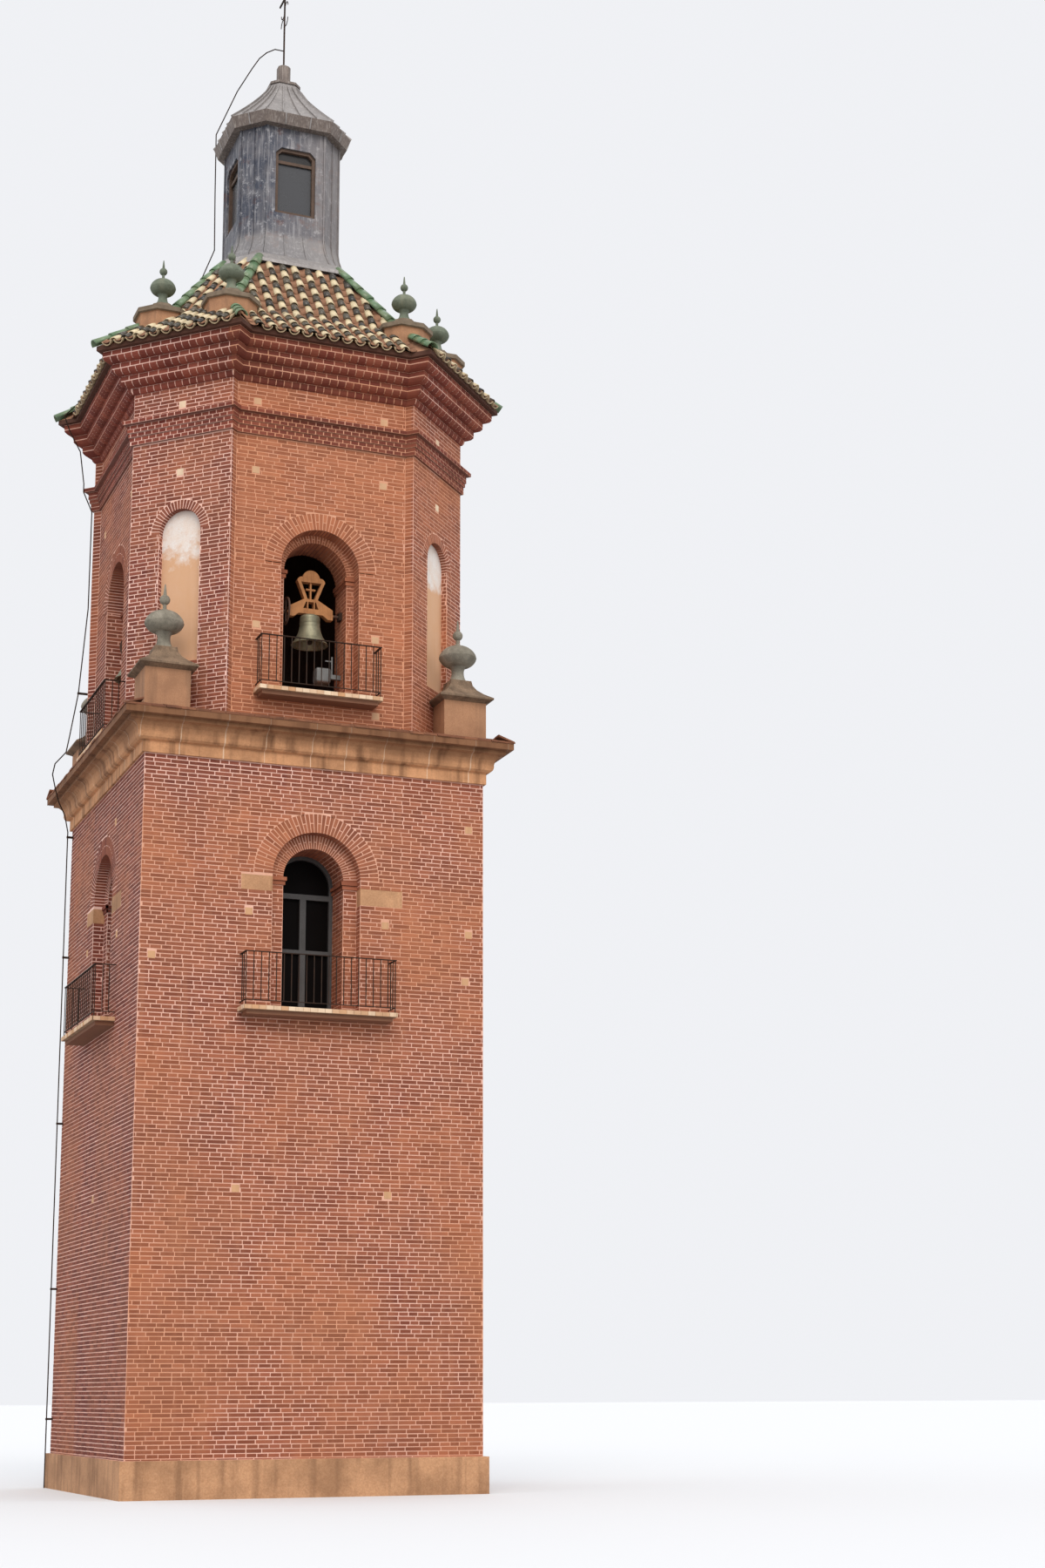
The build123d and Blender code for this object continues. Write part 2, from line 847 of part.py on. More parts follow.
def bell(radius, height):
    """A bell with its axle at the origin: flared lip, hollow waist, rounded shoulder and clapper staple."""
    lip = -height - crown_gap
    shoulder = 0.55 * radius
    shoulder_level = lip + 0.86 * height
    crown = 0.3 * radius
    outer_waist = (0.7 * radius, lip + 0.3 * height)
    inner_top = -crown_gap - crown_wall
    edges = [
        Line((radius - lip_thickness, lip), (radius, lip)),
        ThreePointArc((radius, lip), outer_waist, (shoulder, shoulder_level)),
        ThreePointArc((shoulder, shoulder_level), (0.48 * radius, -crown_gap - 12), (crown, -crown_gap)),
        Line((crown, -crown_gap), (0, -crown_gap)),
        Line((0, -crown_gap), (0, inner_top)),
        Line((0, inner_top), (shoulder - bell_wall, inner_top)),
        ThreePointArc(
            (shoulder - bell_wall, inner_top),
            (outer_waist[0] - bell_wall, outer_waist[1]),
            (radius - lip_thickness, lip),
        ),
    ]
    body = revolve(Rot(90, 0, 0) * make_face(edges), Axis.Z)
    lug = block(0, staple_thickness, -clapper_eye, clapper_eye, -pivot_drop - clapper_eye, inner_top + drip)
    body += Pos(staple_spread, 0, 0) * lug
    body += Pos(-staple_spread - staple_thickness, 0, 0) * lug
    pin = Cylinder(pin_radius, 2 * staple_spread + staple_thickness)
    return body + Pos(0, 0, -pivot_drop) * Rot(0, 90, 0) * pin


def clapper(radius, height):
    """Eye, rod and ball, hung from the pin below the axle."""
    drop = height + crown_gap - pivot_drop - clapper_lift
    bore = Cylinder(pin_radius + pin_play, 2 * staple_spread)
    eye = Rot(0, 90, 0) * (Cylinder(clapper_eye, 1.5 * staple_spread) - bore)
    rod = Pos(0, 0, -clapper_eye + clapper_rod / 2) * Cylinder(
        clapper_rod, drop - clapper_eye, align=(Align.CENTER, Align.CENTER, Align.MAX)
    )
    return Pos(0, 0, -pivot_drop) * (eye + rod + Pos(0, 0, -drop) * Sphere(ball_share * radius))


def yoke_timber(radius):
    """The wooden headstock: sloping legs clear of the bell's shoulder, an open frame and a rounded head."""
    half = yoke_thickness / 2
    bar_top = yoke_bar_rise
    bar_low = bar_top - yoke_bar_depth
    legs = [(-yoke_span, -yoke_end_half), (-yoke_span, yoke_end_half), (-yoke_bar_half, bar_top)]
    legs += [(-x, z) for x, z in reversed(legs)]
    under = [(yoke_span - yoke_end_half, -yoke_end_half), (0.55 * radius + crown_gap, -crown_gap / 2)]
    timber = upright_prism(legs + under + [(-x, z) for x, z in reversed(under)], -half, half)
    gap = yoke_bar_half - strut_width / 2
    wide = gap + yoke_bar_depth
    window = [(-wide, beam_depth), (wide, beam_depth), (gap, bar_low), (-gap, bar_low)]
    timber -= upright_prism(window, -half, half)
    outer = [(yoke_bar_half, bar_top - drip), (head_half - drip, head_rise + drip)]
    strut = upright_prism(outer + [(x - strut_width, z) for x, z in reversed(outer)], -half, half)
    return timber + strut + mirror(strut, Plane.YZ) + yoke_head()


def yoke_head():
    """A board with a rounded top between two low shoulders."""
    half = yoke_thickness / 2
    top = head_rise + head_height
    inner = 0.62 * head_half
    inner_level = head_rise + 0.4 * head_height
    bulge = 0.9 * head_half
    bulge_level = head_rise + 0.32 * head_height
    edges = [
        Line((-head_half, head_rise), (head_half, head_rise)),
        ThreePointArc((head_half, head_rise), (bulge, bulge_level), (inner, inner_level)),
        ThreePointArc((inner, inner_level), (0, top), (-inner, inner_level)),
        ThreePointArc((-inner, inner_level), (-bulge, bulge_level), (-head_half, head_rise)),
    ]
    return extrude(Rot(90, 0, 0) * make_face(edges), amount=half, both=True)


def yoke(radius):
    """Headstock with its inset cross, iron straps, axle and ringing wheel, the axle at the origin."""
    half = yoke_thickness / 2
    rod = cross_rod / 2
    deep = half / 2
    arm = inset_cross_rise + cross_rod
    solid = yoke_timber(radius)
    solid += block(-rod, rod, -deep, deep, yoke_bar_rise - drip, head_rise + drip)
    solid += block(-inset_cross_arm, inset_cross_arm, -deep, deep, inset_cross_rise, arm)
    strap = block(-strap_width / 2, strap_width / 2, -half - drip, half + drip, -crown_gap, yoke_bar_rise)
    for x in (-yoke_bar_half / 2, yoke_bar_half / 2):
        solid += Pos(x, 0, 0) * strap
    reach = belfry_arch_inner - axle_end_gap
    solid += Rot(0, 90, 0) * Cylinder(axle_radius, 2 * reach)
    return solid + Pos(-wheel_place, 0, 0) * Rot(0, 90, 0) * ringing_wheel()


def ringing_wheel():
    inner = wheel_radius - wheel_rim
    wheel = Cylinder(wheel_radius, wheel_width) - Cylinder(inner, wheel_width)
    spoke = Box(2 * inner + wheel_rim, wheel_rim, wheel_width / 2)
    return wheel + spoke + Rot(0, 0, 90) * spoke


def bell_bearings(depth, rise):
    """The two bearing blocks on the jambs, bored for the axle with its play."""
    y = depth - belfry_half
    level = belfry_floor_level + rise
    bore = Pos(0, y, level) * Rot(0, 90, 0) * Cylinder(axle_radius + axle_play, 3 * belfry_arch_inner)
    right = Box(bearing_thickness, 2 * bearing_half, 2 * bearing_half)
    right = Pos(belfry_arch_inner - bearing_thickness / 2, y, level) * right - bore
    return [right, mirror(right, Plane.YZ)]


def striking_motor():
    """A rounded housing on a bracket from the right jamb, with its upright bar and hammer."""
    y = front_bell_depth - belfry_half
    low = belfry_floor_level + motor_rise
    top = low + motor_height
    right = motor_aside + motor_width
    half = motor_depth / 2
    housing = block(motor_aside, right, y - half, y + half, low, top)
    housing = fillet(housing.edges(), motor_rounding)
    middle = low + motor_height / 2
    arm = motor_rounding
    motor = housing + block(right - arm, belfry_arch_inner, y - arm, y + arm, middle - arm, middle + arm)
    bar_end = middle + arm + striker_bar_height
    rod = striker_bar / 2
    motor += block(bar_place, bar_place + striker_bar, y - rod, y + rod, middle, bar_end)
    level = top + hammer_rise
    return motor + block(right - 2 * arm, bar_place + rod, y - rod, y + rod, level, level + 2 * rod)


def cable_route():
    """Points of the conductor, from the cross over the lantern's eave and down the back left corner."""
    lantern_edge = lantern_half + fascia_foot_reach + fascia_lean
    roof_edge = belfry_half + eave_reach
    terrace_x = shaft_half + cornice_edge
    shaft_x = -shaft_half - cable_stand_off
    shaft_y = shaft_half - cable_stand_off
    string_level = belfry_wall_top - string_course_drop
    side = belfry_front_half
    return [
        (-cross_rod / 2, 0, post_top + 330),
        (-post_half - 60, 0, post_top + 330),
        (-post_half - 210, 55, post_top + 255),
        (-post_half - 337, 120, post_top + 139),
        (-post_half - 458, 200, post_top - 61),
        (363 - lantern_edge, lantern_side_half - 200, post_foot_level + 16),
        (65 - lantern_edge, lantern_side_half + 210, lantern_eave_level + 408),
        (75 - lantern_edge, lantern_side_half + 220, lantern_head_level - 662),
        (90 - lantern_edge, lantern_side_half + 220, lantern_foot_level + 359),
        (-roof_head_half - 30, roof_head_side_half + 80, roof_head_level + 565),
        (-roof_head_half - 380, roof_head_side_half + 140, roof_head_level - 80),
        (-knee_half - 40, side - 640, knee_level + 240),
        (-roof_edge - 35, side - 290, eave_top + 175),
        (-roof_edge - 215, side - 40, eave_top + 25),
        (-roof_edge - 75, side + 60, eave_level - 167),
        (-belfry_half - 420, side + 100, belfry_wall_top + 187),
        (-belfry_half - 340, side + 60, string_level + 500),
        (-belfry_half - 340, side + 60, string_level + 340),
        (-belfry_half - 170, side + 60, string_level - 40),
        (-belfry_half - 170, side + 90, belfry_springing + 350),
        (-belfry_half - 282, side + 160, belfry_floor_level + 1026),
        (-belfry_half - 390, side + 260, belfry_floor_level + 260),
        (-belfry_half - 440, side + 320, belfry_floor_level - 80),
        (-terrace_x - 140, side + 460, cornice_top + 340),
        (-terrace_x - 160, side + 560, cornice_top + 160),
        (-terrace_x - 50, shaft_half - 650, cornice_top - 60),
        (-shaft_half - 350, shaft_half - 400, shaft_top + 430),
        (-shaft_half - 190, shaft_half - 180, shaft_top + 250),
        (shaft_x, shaft_y, shaft_top - 50),
        (shaft_x, shaft_y, 0),
    ]


def conductor_cable():
    """A stiff round wire: straight runs with rounded elbows."""
    route = [Vector(*point) for point in cable_route()]
    wire = None
    for start, end in zip(route, route[1:]):
        section = Plane(origin=start, z_dir=end - start) * Circle(cable_radius)
        run = extrude(section, amount=(end - start).length)
        elbow = Pos(start.X, start.Y, start.Z) * Sphere(cable_radius)
        wire = run if wire is None else wire + run + elbow
    return wire


def cable_brackets(wire):
    """Short bars that hold the conductor off the belfry and the shaft. Each ends in an eye round the wire."""
    half = bracket_size / 2
    shaft_x = -shaft_half - cable_stand_off - half
    shaft_y = shaft_half - cable_stand_off
    bar = block(shaft_x, -shaft_half, shaft_y - half, shaft_y + half, -half, half)
    bars = [Pos(0, 0, share * shaft_top) * bar for share in shaft_bracket_shares]
    x, y, level = cable_route()[belfry_bracket_point]
    bars.append(block(x - half, -belfry_half, y - half, y + half, level - half, level + half))
    walls = prism(belfry_outline(0), cornice_top, belfry_wall_top)
    return [bar - wire - walls for bar in bars]


def save(name, shape):
    solids = shape if isinstance(shape, list) else [shape]
    solids = [solid for item in solids for solid in item.solids()]
    export_step(Compound(children=solids), f"parts/{name}.step")


side_names = ("front", "left", "back", "right")
os.makedirs("parts", exist_ok=True)

save("plinth", plinth())
save("ground_floor", prism(square(shaft_inner), 0, ground_floor_thickness))
save("front_shaft_wall", shaft_wall_panel(shaft_half))
save("left_shaft_wall", quarter_turns(shaft_wall_panel(shaft_inner), 1))
save("right_shaft_wall", quarter_turns(shaft_wall_panel(shaft_inner), 3))
save("back_shaft_wall", back_wall_of_shaft())
save("entrance_door", entrance_door())
save("upper_floor", prism(square(shaft_inner), upper_floor_level - floor_thickness, upper_floor_level))
save("impost_stones", [quarter_turns(stone, k) for k in range(4) for stone in impost_stones()])
save("balcony_door_frames", all_round(balcony_door_frame()))
save("balcony_door_panes", all_round(balcony_door_pane()))
save("shaft_balcony_slabs", all_round(balcony_slab(shaft_half, shaft_balcony_half, upper_floor_level)))
shaft_rails = railing(shaft_half, shaft_balcony_half, upper_floor_level)
save("shaft_railings", [quarter_turns(panel, k) for k in range(4) for panel in shaft_rails])

box = pedestal_box()
cap = pedestal_cap()
corner_urn = urn(urn_height, urn_bowl_radius, urn_foot_radius)
corner_urn = Pos(-pedestal_centre, -pedestal_centre, pedestal_top) * corner_urn
terrace_solid = terrace()
for turns in range(4):
    terrace_solid -= quarter_turns(box, turns)
save("lower_cornice", lower_cornice())
save("terrace", terrace_solid)
save("corner_pedestals", all_round(box))
save("corner_pedestal_caps", all_round(cap))
save("corner_urns", all_round(corner_urn))

chamber = octagon(belfry_inner, belfry_inner_side)
save("belfry_floor", prism(chamber, belfry_floor_level - floor_thickness, belfry_floor_level))
main_wall = main_wall_of_belfry()
for turns, side_name in enumerate(side_names):
    wall = main_wall - left_sill_cut() if side_name == "left" else main_wall
    save(f"{side_name}_belfry_wall", quarter_turns(wall, turns))
save("diagonal_belfry_walls", all_round(diagonal_wall_of_belfry()))
save("niche_plaster", all_round(niche_panel()))

slabs = []
rails = []
for turns, side_name in enumerate(side_names):
    drop = left_sill_drop if side_name == "left" else 0
    shift = front_balcony_shift if side_name == "front" else 0
    place = Pos(-shift, 0, -drop)
    slab = place * balcony_slab(belfry_half, belfry_balcony_half, belfry_floor_level)
    slabs.append(quarter_turns(slab, turns) - terrace_solid)
    panels = railing(belfry_half, belfry_balcony_half, belfry_floor_level)
    rails += [quarter_turns(place * panel, turns) for panel in panels]
save("belfry_balcony_slabs", slabs)
save("belfry_railings", rails)

save("string_course", string_course())
save("upper_cornice", upper_cornice())
save("roof_shell", roof_shell())
hip_cap_level = knee_level - hip_pedestal_drop
hip_urn_place = hip_pedestal_place() * Pos(0, 0, hip_cap_level + hip_cap_height)
hip_urn = hip_urn_place * urn(hip_urn_height, hip_urn_bowl_radius, hip_urn_foot_radius)
save("roof_pedestals", mirrored_corners(hip_pedestal(hip_cap_level)))
save("roof_urns", mirrored_corners(hip_urn))
skirt = lantern_skirt()
save("lantern_skirt", skirt)
pedestal_plan = hip_pedestal_plan(hip_pedestal_half + hip_cap_overhang)
pedestal_space = hip_pedestal_place() * prism(pedestal_plan, eave_level, hip_cap_level + hip_cap_height)
save("hip_tiles", mirrored_corners(hip_ridge() - roof_body() - pedestal_space - skirt))

save("lantern_walls", all_round(lantern_main_wall()))
save("lantern_corner_walls", all_round(lantern_corner_wall()))
save("lantern_window_frames", all_round(window_frame_ring()))
save("lantern_panes", all_round(window_pane()))
save("lantern_cornice", lantern_cornice())
save("lantern_roof", lantern_roof())
save("finial_post", finial_post())
save("cross", iron_cross())

bell_sizes = {
    "front": (front_bell_depth, front_axle_rise, front_bell_radius, front_bell_height),
    "left": (left_bell_depth, left_axle_rise, left_bell_radius, left_bell_height),
}
bearings = []
for turns, side_name in enumerate(bell_sizes):
    depth, rise, radius, height = bell_sizes[side_name]
    place = Pos(0, depth - belfry_half, belfry_floor_level + rise)
    save(f"{side_name}_bell", quarter_turns(place * bell(radius, height), turns))
    save(f"{side_name}_yoke", quarter_turns(place * yoke(radius), turns))
    save(f"{side_name}_clapper", quarter_turns(place * clapper(radius, height), turns))
    bearings += [quarter_turns(bearing, turns) for bearing in bell_bearings(depth, rise)]
save("bell_bearings", bearings)
save("striking_motor", striking_motor())
wire = conductor_cable()
save("conductor_cable", wire)
save("cable_brackets", cable_brackets(wire))
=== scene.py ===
# %% [markdown]
# # Dressing a brick bell tower
# The frame holds the tower's plain solids: walls, floors, cornices, roof, lantern and bells, in metres,
# with Z up from the foot of the tower and the front towards -Y. This lesson lays bricks, tiles and
# stones over them and paints every surface. The solids stay where they are and carry what is added.

# %% Load the frame
import math

import bpy
import numpy as np
from mathutils import Matrix, Vector


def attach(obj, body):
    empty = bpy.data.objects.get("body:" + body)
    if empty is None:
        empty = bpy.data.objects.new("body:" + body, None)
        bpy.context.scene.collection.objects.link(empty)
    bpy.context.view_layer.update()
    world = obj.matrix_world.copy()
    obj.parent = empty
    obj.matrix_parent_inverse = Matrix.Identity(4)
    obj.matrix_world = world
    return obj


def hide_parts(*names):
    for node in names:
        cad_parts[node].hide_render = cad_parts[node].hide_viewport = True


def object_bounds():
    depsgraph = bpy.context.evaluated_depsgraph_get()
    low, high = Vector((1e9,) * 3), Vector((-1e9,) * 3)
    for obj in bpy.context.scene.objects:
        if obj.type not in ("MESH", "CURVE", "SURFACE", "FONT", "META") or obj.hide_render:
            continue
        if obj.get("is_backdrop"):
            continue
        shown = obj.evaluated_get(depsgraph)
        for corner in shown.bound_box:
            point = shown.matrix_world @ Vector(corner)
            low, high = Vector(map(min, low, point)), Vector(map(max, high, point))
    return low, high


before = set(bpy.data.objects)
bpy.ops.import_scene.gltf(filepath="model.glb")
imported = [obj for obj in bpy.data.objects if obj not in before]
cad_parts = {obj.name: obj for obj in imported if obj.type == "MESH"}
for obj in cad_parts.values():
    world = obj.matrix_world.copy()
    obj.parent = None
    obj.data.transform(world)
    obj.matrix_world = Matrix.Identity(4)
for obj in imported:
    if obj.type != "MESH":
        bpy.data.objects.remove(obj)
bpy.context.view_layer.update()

# %% [markdown]
# ## Camera
# The tower stands above its neighbours and is seen from the street, from a little to the left.
# A long lens tilted up by nearly twelve degrees, with a small upward shift, gives that view: the shift
# keeps the walls nearly upright, as a tilt alone would make them lean together.

# %% Camera
yaw, pitch, roll = 0.3837, 0.2021, -0.0037
eye = (-11.2233, -40.0594, 1.6)
forward = Vector((math.sin(yaw) * math.cos(pitch), math.cos(yaw) * math.cos(pitch), math.sin(pitch)))
level_right = Vector((math.cos(yaw), -math.sin(yaw), 0))
level_up = level_right.cross(forward)
right = math.cos(roll) * level_right + math.sin(roll) * level_up
up = -math.sin(roll) * level_right + math.cos(roll) * level_up
camera_data = bpy.data.cameras.new("street_view")
camera_data.lens = 53.77
camera_data.sensor_width = 36
camera_data.shift_y = 0.0833
camera_data.clip_end = 1000
camera = bpy.data.objects.new("street_view", camera_data)
bpy.context.collection.objects.link(camera)
camera.matrix_world = Matrix.Translation(eye) @ Matrix((right, up, -forward)).transposed().to_4x4()
bpy.context.scene.camera = camera
print("camera at", eye)

# %% [markdown]
# ## Small helpers
# Colours are written as they look on a screen, 0 to 255, and turned into linear light. Nodes are made
# by a helper that takes sockets or plain values, so that each material reads as a short list.


# %% Helpers for materials
def rgb(red, green, blue):
    """A screen colour as linear light: each share to the power 2.4, with the usual toe."""
    share = np.array([red, green, blue]) / 255
    linear = np.where(share <= 0.04045, share / 12.92, ((share + 0.055) / 1.055) ** 2.4)
    return (*[float(c) for c in linear], 1.0)


def add_node(tree, kind, inputs=(), **settings):
    """A shader node with its settings, whose inputs are (name or number, socket or value) pairs."""
    made = tree.nodes.new("ShaderNode" + kind)
    for key, value in settings.items():
        setattr(made, key, value)
    for key, value in inputs:
        if isinstance(value, bpy.types.NodeSocket):
            tree.links.new(value, made.inputs[key])
        else:
            made.inputs[key].default_value = value
    return made


def blend_colours(tree, share, first, second):
    """The colour socket of a mix of two colours by a share from 0 to 1."""
    pairs = [(0, share), (6, first), (7, second)]
    return add_node(tree, "Mix", pairs, data_type="RGBA", blend_type="MIX", clamp_factor=True).outputs[2]


def calc(tree, operation, first, second=0.0, clamp=False):
    """The socket of a sum, product or other operation on two numbers."""
    pairs = [(0, first)] if second is None else [(0, first), (1, second)]
    return add_node(tree, "Math", pairs, operation=operation, use_clamp=clamp).outputs[0]


def spread(tree, value, low, high, to_low=0.0, to_high=1.0):
    """The value, stretched so that low becomes to_low and high becomes to_high."""
    pairs = [("Value", value), ("From Min", low), ("From Max", high), ("To Min", to_low), ("To Max", to_high)]
    return add_node(tree, "MapRange", pairs, clamp=True).outputs[0]


def noise(tree, vector, scale, detail, roughness=0.5):
    """The value of a noise, read at a vector."""
    pairs = [("Vector", vector), ("Scale", scale), ("Detail", detail), ("Roughness", roughness)]
    return add_node(tree, "TexNoise", pairs).outputs["Fac"]


def own_place(tree):
    """The object's own coordinates."""
    return add_node(tree, "TexCoord").outputs["Object"]


def axes(tree, vector=None):
    """The X, Y and Z sockets of a vector, or of the object's own coordinates."""
    return add_node(tree, "SeparateXYZ", [(0, vector or own_place(tree))]).outputs


def larger(tree, first, second):
    """1 where the size of the first number is larger than that of the second."""
    sizes = [calc(tree, "ABSOLUTE", value, None) for value in (first, second)]
    return calc(tree, "GREATER_THAN", *sizes)


def new_finish(name):
    """A new material, with its node tree and its shader."""
    material = bpy.data.materials.new(name)
    material.use_nodes = True
    return material, material.node_tree, material.node_tree.nodes["Principled BSDF"]


def new_group(name, inputs, outputs):
    """An empty node group with named sockets, and its input and output nodes."""
    tree = bpy.data.node_groups.new(name, "ShaderNodeTree")
    for label, kind, value in inputs:
        tree.interface.new_socket(label, in_out="INPUT", socket_type="NodeSocket" + kind).default_value = value
    for label in outputs:
        tree.interface.new_socket(label, in_out="OUTPUT", socket_type="NodeSocketFloat")
    return tree, tree.nodes.new("NodeGroupInput").outputs, tree.nodes.new("NodeGroupOutput").inputs


print("helpers ready")

# %% [markdown]
# ## Light
# An overcast sky lights the tower from all round, so undersides darken softly and nothing throws a
# hard shadow. A pale world does that, and one broad sun from the front, a little to the left, gives the
# faces some difference. Camera, mirror and glass rays see a near-white sky instead of the lamp light.

# %% Light
bpy.context.scene.view_settings.view_transform = "Standard"
world = bpy.data.worlds.new("overcast")
bpy.context.scene.world = world
world.use_nodes = True
sky = world.node_tree
sky.nodes.clear()
rays = add_node(sky, "LightPath").outputs
direct = calc(sky, "ADD", rays["Is Camera Ray"], rays["Is Transmission Ray"])
seen = calc(sky, "ADD", direct, rays["Is Glossy Ray"], clamp=True)
glow = add_node(sky, "Background", [("Color", (0.93, 0.96, 1.0, 1)), ("Strength", 1.12)])
pale = add_node(sky, "Background", [("Color", (0.87, 0.88, 0.91, 1)), ("Strength", 1.0)])
choose = add_node(sky, "MixShader", [(0, seen), (1, glow.outputs[0]), (2, pale.outputs[0])])
add_node(sky, "OutputWorld", [("Surface", choose.outputs[0])])

sun_data = bpy.data.lights.new("veiled_sun", "SUN")
sun_data.energy = 1.35
sun_data.angle = math.radians(40)
sun_data.color = (1.0, 0.95, 0.88)
sun = bpy.data.objects.new("veiled_sun", sun_data)
sun.rotation_euler = (math.radians(48), 0, math.radians(-14))
bpy.context.collection.objects.link(sun)
print("sky strength", glow.inputs["Strength"].default_value, "sun", sun_data.energy)

# %% [markdown]
# ## Weathering, shared by every surface
# Rain and sun leave three kinds of marks: broad patches, streaks that run down, and a fine grain.
# All three are noise read at the object's own coordinates. The streaks read the height squeezed,
# so that they come out long and thin. One group gives all three to each material.

# %% Weathering group
sizes = [("Patch Size", "Float", 1.0), ("Streak Width", "Float", 0.12), ("Grain Size", "Float", 0.02)]
weather, given, gives = new_group(
    "weathering", [("Vector", "Vector", (0, 0, 0)), *sizes], ["Patches", "Streaks", "Grain"]
)
place = given["Vector"]
patch_scale, streak_scale, grain_scale = (calc(weather, "DIVIDE", 1.0, given[label]) for label, _, _ in sizes)
squeeze = add_node(weather, "VectorMath", [(0, place), (1, (1.0, 1.0, 0.07))], operation="MULTIPLY")
patch = noise(weather, place, patch_scale, 5.0, 0.62)
streak = noise(weather, squeeze.outputs[0], streak_scale, 3.0)
weather.links.new(spread(weather, patch, 0.4, 0.64), gives["Patches"])
weather.links.new(spread(weather, streak, 0.5, 0.72), gives["Streaks"])
weather.links.new(noise(weather, place, grain_scale, 4.0, 0.7), gives["Grain"])
print("group:", weather.name, [s.name for s in weather.interface.items_tree])

# %% [markdown]
# ## The orange wash
# An old lime wash coloured with earth still clings to the front of the belfry and of the shaft, though
# not to the shaft's head, and has gone from the weather side, where maroon brick and pale pink joints
# show. The wash is a mask: a share for each direction round the tower, loosened by noise. Bricks and
# mortar both read it.

# %% Orange wash group
wash, given, gives = new_group("orange wash", [("Vector", "Vector", (0, 0, 0))], ["Wash"])
split = axes(wash, given["Vector"])
around = calc(wash, "ARCTAN2", split["X"], calc(wash, "MULTIPLY", split["Y"], -1.0))
compass = spread(wash, around, -math.pi, math.pi)


def by_direction(tree, position, stops):
    """A stepped ramp: from each position round the tower on, its share."""
    ramp = add_node(tree, "ValToRGB", [("Fac", position)])
    ramp.color_ramp.interpolation = "CONSTANT"
    points = ramp.color_ramp.elements
    while len(points) < len(stops):
        points.new(0.5)
    for point, (start, share) in zip(points, stops):
        point.position = start
        point.color = (share, share, share, 1)
    return ramp.outputs["Color"]


belfry_share = by_direction(wash, compass, [(0, 0.4), (0.3, 0.06), (0.4212, 1.0), (0.577, 0.62), (0.7, 0.45)])
shaft_share = by_direction(wash, compass, [(0, 0.4), (0.2, 0.08), (0.374, 0.66), (0.626, 0.45)])
above = calc(wash, "GREATER_THAN", split["Z"], 12.4)
direction_share = blend_colours(wash, above, shaft_share, belfry_share)
cloud = noise(wash, given["Vector"], 0.55, 4.0, 0.6)
loosened = calc(wash, "ADD", calc(wash, "MULTIPLY", cloud, 2.2), -1.1)
bare_top = spread(wash, split["Z"], 10.9, 12.0, 0.0, 0.5)
bare_top = calc(wash, "MULTIPLY", bare_top, calc(wash, "SUBTRACT", 1.0, above))
total = calc(wash, "SUBTRACT", calc(wash, "ADD", direction_share, loosened), bare_top, clamp=True)
wash.links.new(total, gives["Wash"])
print("group:", wash.name)

# %% [markdown]
# ## Finishes
# One function makes the plain weathered finishes: two colours that mix by each piece's own tone or by
# noise, a stain in patches, a darker or paler streak, and a bump from the grain. The shader itself
# stays in the material.


# %% A weathered finish
def weathered(
    name, first, second, stain, streak_colour, stain_share, streak_share, tone=False, patch=0.9, streak=0.12,
    grain=0.02, bump=0.3, depth=0.004, rough=0.85, metal=0.0, coat=0.0, washed=None,
):
    """A finish: base = first to second by tone or grain, then stain by patches, then streaks."""
    material, tree, shader = new_finish(name)
    place = own_place(tree)
    sizes = [("Vector", place), ("Patch Size", patch), ("Streak Width", streak), ("Grain Size", grain)]
    marks = add_node(tree, "Group", sizes, node_tree=weather)
    if tone:
        share = add_node(tree, "Attribute", attribute_name="tone").outputs["Fac"]
    else:
        share = spread(tree, marks.outputs["Grain"], 0.35, 0.65)
    colour = blend_colours(tree, share, rgb(*first), rgb(*second))
    if washed:
        mask = add_node(tree, "Group", [("Vector", place)], node_tree=wash)
        over = blend_colours(tree, share, rgb(*washed[0]), rgb(*washed[1]))
        colour = blend_colours(tree, mask.outputs["Wash"], colour, over)
    for marked, strength, over in (("Patches", stain_share, stain), ("Streaks", streak_share, streak_colour)):
        colour = blend_colours(tree, calc(tree, "MULTIPLY", marks.outputs[marked], strength), colour, rgb(*over))
    tree.links.new(colour, shader.inputs["Base Color"])
    shader.inputs["Roughness"].default_value = rough
    shader.inputs["Metallic"].default_value = metal
    shader.inputs["Coat Weight"].default_value = coat
    shader.inputs["Specular IOR Level"].default_value = 0.3
    relief = add_node(tree, "Bump", [("Strength", bump), ("Distance", depth), ("Height", marks.outputs["Grain"])])
    tree.links.new(relief.outputs[0], shader.inputs["Normal"])
    return material


# bricks and mortar
brick_skin = weathered(
    "brick_skin", (108, 50, 40), (144, 78, 62), (112, 72, 58), (196, 132, 98), 0.25, 0.2, tone=True, patch=1.6,
    grain=0.012, bump=0.35, washed=[(152, 89, 60), (184, 113, 79)],
)
mortar = weathered(
    "mortar", (252, 212, 198), (240, 194, 178), (212, 164, 144), (190, 136, 110), 0.32, 0.2, patch=1.4,
    grain=0.015, depth=0.003, washed=[(224, 160, 124), (208, 146, 112)],
)
dark_brick = weathered(
    "dark_brick", (112, 50, 40), (150, 76, 60), (76, 38, 31), (150, 90, 70), 0.4, 0.12, tone=True, patch=1.2,
    grain=0.012, bump=0.35, washed=[(122, 58, 44), (150, 82, 60)],
)
